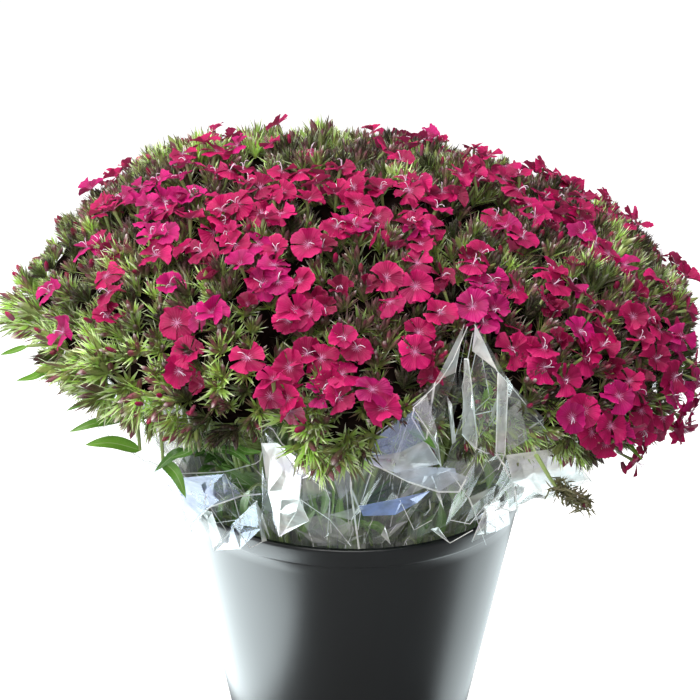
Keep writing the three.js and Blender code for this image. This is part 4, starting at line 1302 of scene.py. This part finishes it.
# White flaps of folded film: how milky each is, how blue, and its corners in pixels
FLAPS = {
    "left_front": """
        0.5 0.7 180,478 224,474 241,495 210,507 176,508
        0.75 0 196,507 212,512 222,540 213,550
        0.12 0.5 232,524 257,500 262,528 240,549 216,552
        0.8 0 255,502 261,520 267,541 262,542
        0.7 0 222,475 227,474 229,490 224,494
        0.7 0 255,500 262,512 270,538 258,520
        0.5 0.7 134,457 178,476 186,520 160,492
        0.35 0.2 262,467 268,492 279,537 262,520
    """,
    "front": """
        0.97 0 261,443 277,443 301,479 299,500 268,492
        0.55 0 277,443 324,474 301,479
        0.95 0 268,492 299,500 309,521 279,537
        0.4 0.7 352,457 398,420 414,411 426,440 400,452 368,458
        0.75 0.2 368,458 400,452 426,440 440,464 396,473 352,458
        0.6 0.3 393,466 455,468 458,480 438,492 408,482 394,474
        0.6 0.9 359,506 395,499 430,491 417,503 395,515 363,516
        0.2 0 414,408 427,396 437,430 441,466
        0.5 0 447,396 452,404 456,442 452,444
        0.35 0 464,359 469,360 472,389 477,438 476,450 462,434
        0.85 0 436,493 440,492 444,510
        0.7 0 431,529 438,527 450,543
        0.12 0.3 330,470 351,458 351,490 340,500
        0.16 0 301,520 330,512 351,525 352,545 318,546
        0.5 0 381,535 385,526 391,545
        0.3 0.2 440,466 470,478 462,492 436,492
    """,
    "right_front": """
        0.85 0 475,325 484,342 497,370 472,351
        0.55 0 498,373 508,384 505,454 496,452
        0.8 0 506,455 560,448 588,480 544,496 512,482
        0.6 0 471,542 488,505 486,536
        0.35 0.1 494,512 508,500 510,524 496,532
        0.3 0 484,507 500,500 498,530 486,535
        0.08 0 505,412 520,400 528,440 508,452
    """,
}
# Sharp bright creases: the width of each in millimetres, and its corners in pixels
CREASES = {
    "left_front": """
        0.6 234,524 250,548 262,542
        0.6 210,507 226,530 214,552
        0.5 160,492 186,500 208,524 236,520
        1.0 174,508 210,507 241,496 261,494
        1.0 214,552 235,526 257,501
        0.8 190,540 200,520 205,500 212,480
        0.7 225,474 232,490 240,520 240,548
    """,
    "front": """
        1.1 350,454 377,466 409,482 439,492 459,492 466,479
        1.3 351,458 351,490 355,520 359,549
        0.8 414,408 412,418 428,445 441,466
        0.8 427,395 413,408 438,445 441,466
        0.9 464,359 468,359 472,389 477,438 476,450 462,434
        0.8 462,434 476,448 486,453 504,455
        0.7 301,479 299,500 309,521
        0.7 281,537 296,512 301,484
        0.5 301,500 330,520 351,546
        0.5 320,474 330,500 327,540
        0.5 372,470 362,500 358,530
        0.5 400,500 414,530 432,520
    """,
    "right_front": """
        1.2 496,454 504,465 515,490 518,516
        0.5 446,466 470,500 486,545
        0.6 450,520 470,524 486,504
        0.7 498,373 496,452 504,465
        0.7 508,384 505,454 498,470
        0.8 486,504 500,508 511,511
        0.8 472,542 480,522 488,505
        0.7 431,529 450,543 473,530
    """,
}
# One sleeve laid flat: on average 0.13 m across its front, 0.10 m down each side and 0.05 m across
# its back make 0.38 m round, and from its foot in the water to its top edge it is 0.30 m long
# A sleeve's foot in the water, and where it passes the rim: distance out and height
FOOT_OUT, SLEEVE_FOOT = 0.0965, 0.092
RIM_OUT, RIM_TOP = 0.1365, 0.281
RIM_RISE = 0.5  # the share of the sleeve below the rim
# How the sleeves widen above the rim: below 1 they belly out, above 1 they hollow in
BELLY = dict.fromkeys(NAMES, 1.1) | {"front": 0.75, "right_front": 0.8}
# The size of the front's facets, and its own size over the width in radians and over the height
FACET, FRONT_OUT, FRONT_TALL = 0.017, 0.19, 0.27
# How far flaps, creases and the leaves behind the film stand out of it
FLAP_LIFT, CREASE_LIFT, LEAF_LIFT = 0.0055, 0.007, -0.012
# How far below the front sleeves the foliage's roots and its core stay
TUFTS_UNDER_FILM, CORE_UNDER_FILM = 0.017, 0.024
# How far the flaps pass over and below the rim, and how far round, in radians from the front
OVER_RIM, OVERHANG, FLAP_TURN = 0.004, 0.024, 1.12
# A flap has an inner fold point for so many pixels of its size, and they stand so proud of it
FOLD_PIXELS, FOLD_RISE = 5.5, 0.0035
WRINKLES = 26
# How milky creases, top edges and the panels behind are: less than none keeps the haze off them
CREASE_MILK, EDGE_MILK, CLEAR_PANEL = 0.92, 0.8, -0.12


def edge_of(name):
    """Direction, height and distance out of a front sleeve's top edge, from left to right"""
    direction, out, height = upright(at_pixels(numbers(SLEEVE_EDGES[name])))
    return np.stack([direction, height, out], -1)


EDGES = {name: edge_of(name) for name in SLEEVE_EDGES}


def film_top(index, share):
    """Direction, height and distance out of a sleeve's top edge; share is -1 to 1 across it."""
    name, start, end, _ = BUNCHES[index]
    if name in EDGES:
        direction, height, out = EDGES[name].T
        turn = direction[0] + (direction[-1] - direction[0]) * (share + 1) / 2
        return turn, np.interp(turn, direction, height), np.interp(turn, direction, out)
    turn = ((start + end) / 2 + share * (end - start) / 2 * 0.985) * degrees
    height = 0.366 + 0.008 * np.sin(share * 7 + index) + 0.066 * np.abs(share) ** 6
    return turn, height, 0.216 + 0.036 * smooth(height, 0.37, 0.44)


def film_spot(index, share, rise):
    """Direction, distance out and height on the front of a sleeve: share is -1 to 1 across, rise is
    0 in the water and 1 on top"""
    middle, half = span(index)
    turn_top, height_top, out_top = film_top(index, share)
    below = np.clip(rise / RIM_RISE, 0, 1)
    above = np.clip((rise - RIM_RISE) / (1 - RIM_RISE), 0, 1)
    low = same_turn(middle + share * (half - 0.008), turn_top)
    direction = low + (turn_top - low) * above
    height = SLEEVE_FOOT + (RIM_TOP - SLEEVE_FOOT) * below + (height_top - RIM_TOP) * above
    widening = (out_top - RIM_OUT) * above ** BELLY[NAMES[index]]
    return direction, FOOT_OUT + (RIM_OUT - 0.001 - FOOT_OUT) * below + widening, height


def film_out(name, direction, height):
    """How far out a front sleeve is, and how high a place is between the rim and its top edge"""
    turn, top, out = EDGES[name].T
    above = np.clip((height - RIM_TOP) / (np.interp(direction, turn, top) - RIM_TOP), 0, 1.2)
    return RIM_OUT + (np.interp(direction, turn, out) - RIM_OUT) * above ** BELLY[name], above


def film_under_pixels(name, spots, lift):
    """Places on a front sleeve, or lift metres above it, under pixels. The film reaches a little over
    the rim, where it lies close to the bucket."""
    direction, out, height = upright(along_pixels(spots))
    outside = out - film_out(name, direction, height)[0] - lift
    first = first_inside(outside < 0, outside)
    direction = np.clip(direction[first], -FLAP_TURN, FLAP_TURN)
    height = np.maximum(height[first], HEIGHT - OVERHANG)
    close = np.maximum(film_out(name, direction, height)[0] + lift, RIM + OVER_RIM + lift)
    return place(direction, np.minimum(out[first], close), height)


def under_film(points, space):
    """Places pressed in by the front sleeves, so that the film lies over them"""
    direction, out, height = upright(points)
    for name, edge in EDGES.items():
        film, above = film_out(name, direction, height)
        covered = (direction > edge[0, 0]) & (direction < edge[-1, 0]) & (above < 0.97)
        out = np.where(covered, np.minimum(out, film - space), out)
    return place(direction, out, height)


def crumpled_front(index, draw):
    """The front of a sleeve in large and small facets: points and faces"""
    width = 2 * span(index)[1]
    across, up = max(5, int(width * 0.20 / FACET)), 12
    spots = []
    for row in range(up + 1):
        for column in range(across + 1):
            x, y = -1 + 2 * column / across, row / up
            if 0 < column < across:
                x += draw.uniform(-0.45, 0.45) * 2 / across
            if 0 < row < up and row != up // 2:
                y += draw.uniform(-0.45, 0.45) / up
            spots.append((x, y))
    # the film folds along the bucket's rim
    first = (up // 2) * (across + 1)
    fold = [(first + column, first + column + 1) for column in range(across)]
    flat = [Vector((x * width * FRONT_OUT, y * FRONT_TALL)) for x, y in spots]
    made = delaunay_2d_cdt(flat, fold, [], 0, 1e-6)
    faces = np.array([face for face in made[2] if len(face) == 3])
    flat = np.array([(spot.x / (width * FRONT_OUT), spot.y / FRONT_TALL) for spot in made[0]])
    direction, out, height = film_spot(index, flat[:, 0], flat[:, 1])
    free = smooth(flat[:, 1], RIM_RISE, 0.6)
    crumple = draw.uniform(-1, 1, len(flat))
    out = out + free * crumple * 0.007 - (1 - free) * 0.002 * np.abs(crumple)
    direction = direction + free * draw.uniform(-0.02, 0.02, len(flat))
    return place(direction, out, height), faces


def sleeve_back(index, draw):
    """The two sides and the back of a sleeve, plain panels that hang from its front corners"""
    middle, half = span(index)
    steps = [(1, deep) for deep in (0.0, 0.3, 0.65, 1.0)] + [(0.3, 1.0), (-0.3, 1.0)]
    steps += [(-1, deep) for deep in (1.0, 0.65, 0.3, 0.0)]
    panel = []
    for rise in np.linspace(0, 1, 9):
        inner = 0.036 + 0.021 * min(rise / RIM_RISE, 1) + 0.029 * max(rise - RIM_RISE, 0) / (1 - RIM_RISE)
        for share, deep in steps:
            turn, out, height = film_spot(index, np.array(float(np.sign(share))), np.array(rise))
            far = out + (inner - out) * deep
            own = same_turn(middle + share * (half - 0.0012 / far), turn)
            if abs(share) == 1:
                own = turn + (own - turn) * min(1.0, deep * 3)
            lower = height + (min(height, 0.400) - height) * deep
            panel.append(place(own, far, lower + draw.uniform(-0.004, 0.004) * (rise == 1)))
    return np.array(panel), np.array(grid_faces(9, len(steps)))


def strip(points, width):
    """A flat ribbon along a line of places, facing the camera"""
    way = unit(np.gradient(points, axis=0))
    side = unit(np.cross(way, EYE - points)) * width / 2
    ribbon = np.stack([points - side, points + side], 1).reshape(-1, 3)
    return ribbon, np.array(grid_faces(len(points), 2))


def straight(line):
    """More places on the straight runs between the corners of a line"""
    spots = np.linspace(0, len(line) - 1, 4 * len(line) - 3)
    return np.stack([np.interp(spots, np.arange(len(line)), value) for value in line.T], -1)


def crumpled_flap(name, flat, cloud, draw):
    """A flap of film folded into small facets: places, facets and how milky their corners are"""
    count = len(flat)
    inner = int(math.sqrt(np.prod(np.ptp(flat, axis=0))) / FOLD_PIXELS)
    share = draw.uniform(0, 1, (inner, count)) ** 2
    flat = np.concatenate([flat, share @ flat / share.sum(1, keepdims=True)])
    made = delaunay_2d_cdt([Vector(spot) for spot in flat], [], [list(range(count))], 1, 1e-6)
    used, faces = np.unique(np.array(made[2]), return_inverse=True)
    faces = faces.reshape(-1, 3)
    flat = np.array([tuple(spot) for spot in made[0]])[used]
    points = film_under_pixels(name, flat, FLAP_LIFT)
    points = points + unit(EYE - points) * draw.uniform(0, FOLD_RISE, len(points))[:, None]
    milk = np.minimum(cloud * draw.uniform(0.25, 1.3, len(points)), 0.97)
    return points, faces, milk[faces]


def make_film(index):
    """One sleeve, with its flaps and creases"""
    name = NAMES[index]
    draw, folding = rng("film", index), rng("folds", index)
    points, faces = crumpled_front(index, draw)
    milk = draw.uniform(0.02, 0.12, len(faces))
    milk = np.where(draw.uniform(0, 1, len(faces)) < 0.14, draw.uniform(0.2, 0.45, len(faces)), milk)
    if name == "left_front":
        milk = np.minimum(milk, 0.08)
    # places, facets, how milky they are, whether it is the crumpled front, and how blue
    parts = [(points, faces, milk, True, 0)]

    def add_plain(points, faces, milk):
        parts.append((points, faces, np.full(len(faces), milk), False, 0))

    add_plain(*sleeve_back(index, draw), CLEAR_PANEL)
    if name in EDGES:
        for cloud, blue, corners in rows_of(FLAPS[name]):
            parts.append((*crumpled_flap(name, corners, cloud, folding), False, blue))
        for width, corners in rows_of(CREASES[name]):
            line = film_under_pixels(name, corners, CREASE_LIFT)
            add_plain(*strip(straight(line), width / 1000), CREASE_MILK)
        # fine wrinkles that run up the film
        steps = np.linspace(0, 1, 5)
        for _ in range(WRINKLES):
            share = draw.uniform(-0.95, 0.95) + draw.normal(0, 0.14) * steps
            rise = np.minimum(draw.uniform(RIM_RISE + 0.02, 0.9) + draw.uniform(0.06, 0.3) * steps, 0.99)
            line = place(*film_spot(index, np.clip(share, -1, 1), rise))
            add_plain(*strip(line, draw.uniform(0.0003, 0.0006)), draw.uniform(0.3, 0.9))
        line = place(*film_spot(index, np.linspace(-1, 1, 40), np.ones(40)))
        add_plain(*strip(line, 0.0007), EDGE_MILK)
    build_film(name, parts)


def build_film(name, parts):
    """The piece of a sleeve, with its milk, creases, blue and mirroring in the corners' colours"""
    count, points, faces, colours = 0, [], [], []
    dulling = rng("mirrors", NAMES.index(name))
    for own, triangles, milk, crumpled, blue in parts:
        points.append(own)
        faces.append(triangles + count)
        count += len(own)
        # how much a part mirrors; from 0.2 up its milk also has the painted glow, which the left front
        # sleeve lacks
        mirror = 0.15 if name == "left_front" else 1.0 if crumpled else 0.4
        rgba = np.full((len(triangles) * 3, 4), mirror, np.float32)
        if crumpled:
            # the facets mirror more at some of their corners than at others
            rgba[:, 3] *= dulling.uniform(0.3, 1, len(own))[triangles].ravel()
        rgba[:, 0] = milk.ravel() if milk.ndim == 2 else np.repeat(milk, 3)
        rgba[:, 1] = np.tile([1, 1, 0], len(triangles)) * crumpled
        rgba[:, 2] = blue
        colours.append(rgba)
    points, faces = np.concatenate(points), np.concatenate(faces)
    mesh = bpy.data.meshes.new(name + "_sleeve")
    mesh.from_pydata(points.tolist(), [], faces.tolist())
    tint = mesh.attributes.new("tint", "FLOAT_COLOR", "CORNER")
    tint.data.foreach_set("color", np.concatenate(colours).ravel())
    mesh.materials.append(FILM)
    piece = add_object(name + "_sleeve", mesh)
    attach(piece, "root")
    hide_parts(name + "_film")


# Bucket
BUCKET_SIDES, FOOT_RING = 144, 0.0012


def make_bucket():
    """The bucket turned on its axis. The profile is radius and height, from the middle of the bottom
    out, up the wall, over the band and the rim, and down inside; its small steps round the edges."""

    def wall(height):
        return BASE + (RIM - BAND_STEP - BASE) * height / HEIGHT

    def inner(height):
        return wall(height) - WALL

    ledge = HEIGHT - BAND
    profile = [(0.0, FOOT_RING), (0.05, FOOT_RING), (BASE - 0.006, FOOT_RING)]
    profile += [(BASE - 0.004, 0.0), (BASE - 0.001, 0.0), (BASE, FOOT_RING)]
    profile += [(wall(h), h) for h in np.linspace(0.006, ledge - 0.0015, 30)]
    for out, up in ((0.0003, -0.0008), (0.0011, 0), (0.0015, 0.0009)):
        profile.append((wall(ledge) + out, ledge + up))
    profile += [(RIM - 0.0002, HEIGHT - 0.0035), (RIM, HEIGHT - 0.0018)]
    profile += [(RIM - 0.0005, HEIGHT - 0.0005), (RIM - 0.0015, HEIGHT)]
    profile += [(inner(HEIGHT) + 0.0008, HEIGHT - 0.0002), (inner(HEIGHT), HEIGHT - 0.0012)]
    profile += [(inner(h), h) for h in np.linspace(HEIGHT - 0.006, FLOOR + 0.004, 24)]
    profile += [(inner(FLOOR) - 0.003, FLOOR), (0.04, FLOOR), (0.0, FLOOR)]
    turn = 2 * math.pi * np.arange(BUCKET_SIDES) / BUCKET_SIDES
    points = np.array([[(r * math.sin(t), -r * math.cos(t), h) for t in turn] for r, h in profile])
    plastic = bucket_material()
    soup = Soup(plastic)
    soup.add_grid(points, 0, plastic, closed=True)
    soup.build("bucket_shell", "bucket", ["bucket"])


# The whole bucketful
foliage = [Soup(BRACT, CORE, LEAF) for _ in BUNCHES]
blooms = [Soup(PETAL, BRACT, STYLE) for _ in BUNCHES]
grow_tufts(foliage)
for number, bunch_name in enumerate(NAMES):
    grow_core(foliage[number], number)
    grow_stems(foliage[number], number)
    if bunch_name in LONG_LEAVES:
        grow_long_leaves(foliage[number], number)
grow_photo_leaves(foliage)
grow_under_leaves(foliage)
grow_wilted(foliage[NAMES.index("right_front")])
grow_florets(blooms)
make_bucket()
for number, bunch_name in enumerate(NAMES):
    foliage[number].build(bunch_name + "_tufts", "foliage", [bunch_name + "_foliage"])
    clusters = sorted(name for name in nodes if name.startswith(bunch_name + "_florets_"))
    blooms[number].build(bunch_name + "_blooms", "petal", clusters)
    if number != MIDDLE:
        make_film(number)

nodes["water"].data.materials.clear()
nodes["water"].data.materials.append(water_material())

# Studio: a plain floor that glows a little to the camera and is darker in mirror images
FLOOR_SEEN, FLOOR_MIRRORED, FLOOR_GLOW = (0.9, 0.9, 0.9), (0.3, 0.3, 0.3), 0.75
# the backdrop behind is white, and the room in front of the plant is darker
BACKDROP_LIGHT, ROOM_LIGHT = 0.5, 0.14
SENSOR = 36

floor_mesh = bpy.data.meshes.new("floor")
floor_mesh.from_pydata([(-6, -3, 0), (6, -3, 0), (6, 9, 0), (-6, 9, 0)], [], [(0, 1, 2, 3)])
floor = add_object("floor", floor_mesh)
pale, tree, shader = new_material("floor")
seen = node(tree, "LightPath").outputs["Is Camera Ray"]
colour, glow = blend(tree, seen, FLOOR_MIRRORED, FLOOR_SEEN), times(tree, seen, FLOOR_GLOW)
set_up(tree, shader, Base_Color=colour, Roughness=0.9, Emission_Color=(1, 1, 1), Emission_Strength=glow)
floor_mesh.materials.append(pale)

world = bpy.data.worlds.new("studio")
bpy.context.scene.world = world
world.use_nodes = True
around = world.node_tree
backdrop = around.nodes["Background"]
way = node(around, "SeparateXYZ", Vector=node(around, "TexCoord").outputs["Generated"])
behind = times(around, ramp(around, way.outputs[1], -0.7, 0.5), BACKDROP_LIGHT - ROOM_LIGHT)
lit = maths(around, "ADD", behind, ROOM_LIGHT)
seen = node(around, "LightPath").outputs["Is Camera Ray"]
set_up(around, backdrop, Color=(1, 1, 1), Strength=maths(around, "MAXIMUM", lit, seen))


def softbox(name, at, towards, width, height, power, tone=(1, 1, 1), mirrored=False):
    """A lamp that the camera doesn't see, or one for mirror images only"""
    light = bpy.data.lights.new(name, "AREA")
    light.color = tone
    light.shape, light.size, light.size_y, light.energy = "RECTANGLE", width, height, power
    lamp = add_object(name, light)
    lamp.location = at
    lamp.visible_camera = False
    lamp.visible_diffuse = lamp.visible_transmission = not mirrored
    lamp.rotation_euler = (Vector(towards) - Vector(at)).to_track_quat("-Z", "Y").to_euler()


softbox("top", (-0.35, -0.35, 1.9), (0, 0, 0.4), 1.0, 1.0, 27)
softbox("front", (-0.2, -2.2, 1.5), (0, 0, 0.4), 1.6, 1.0, 32)
softbox("left", (-1.5, -0.1, 0.75), (0, 0, 0.2), 2.0, 1.6, 18)
# the table beside the bucket, lit brightly on the left and less on the right
COOL = (0.86, 0.97, 1.0)
softbox("table_left", (-0.44, 0.03, 0.004), (-0.44, 0.03, 1), 0.54, 0.64, 7.6, COOL, True)
softbox("table_right", (0.36, 0.14, 0.004), (0.36, 0.14, 1), 0.42, 0.42, 1.6, COOL, True)

camera_data = bpy.data.cameras.new("camera")
camera_data.sensor_width = SENSOR
camera_data.lens = FOCAL * SENSOR
camera = add_object("camera", camera_data)
turned = Matrix([[RIGHT[i], UP[i], -FORWARD[i]] for i in range(3)]).to_4x4()
turned.translation = Vector(EYE)
camera.matrix_world = turned
bpy.context.scene.camera = camera
bpy.context.scene.view_settings.view_transform = "Standard"

bpy.context.view_layer.update()
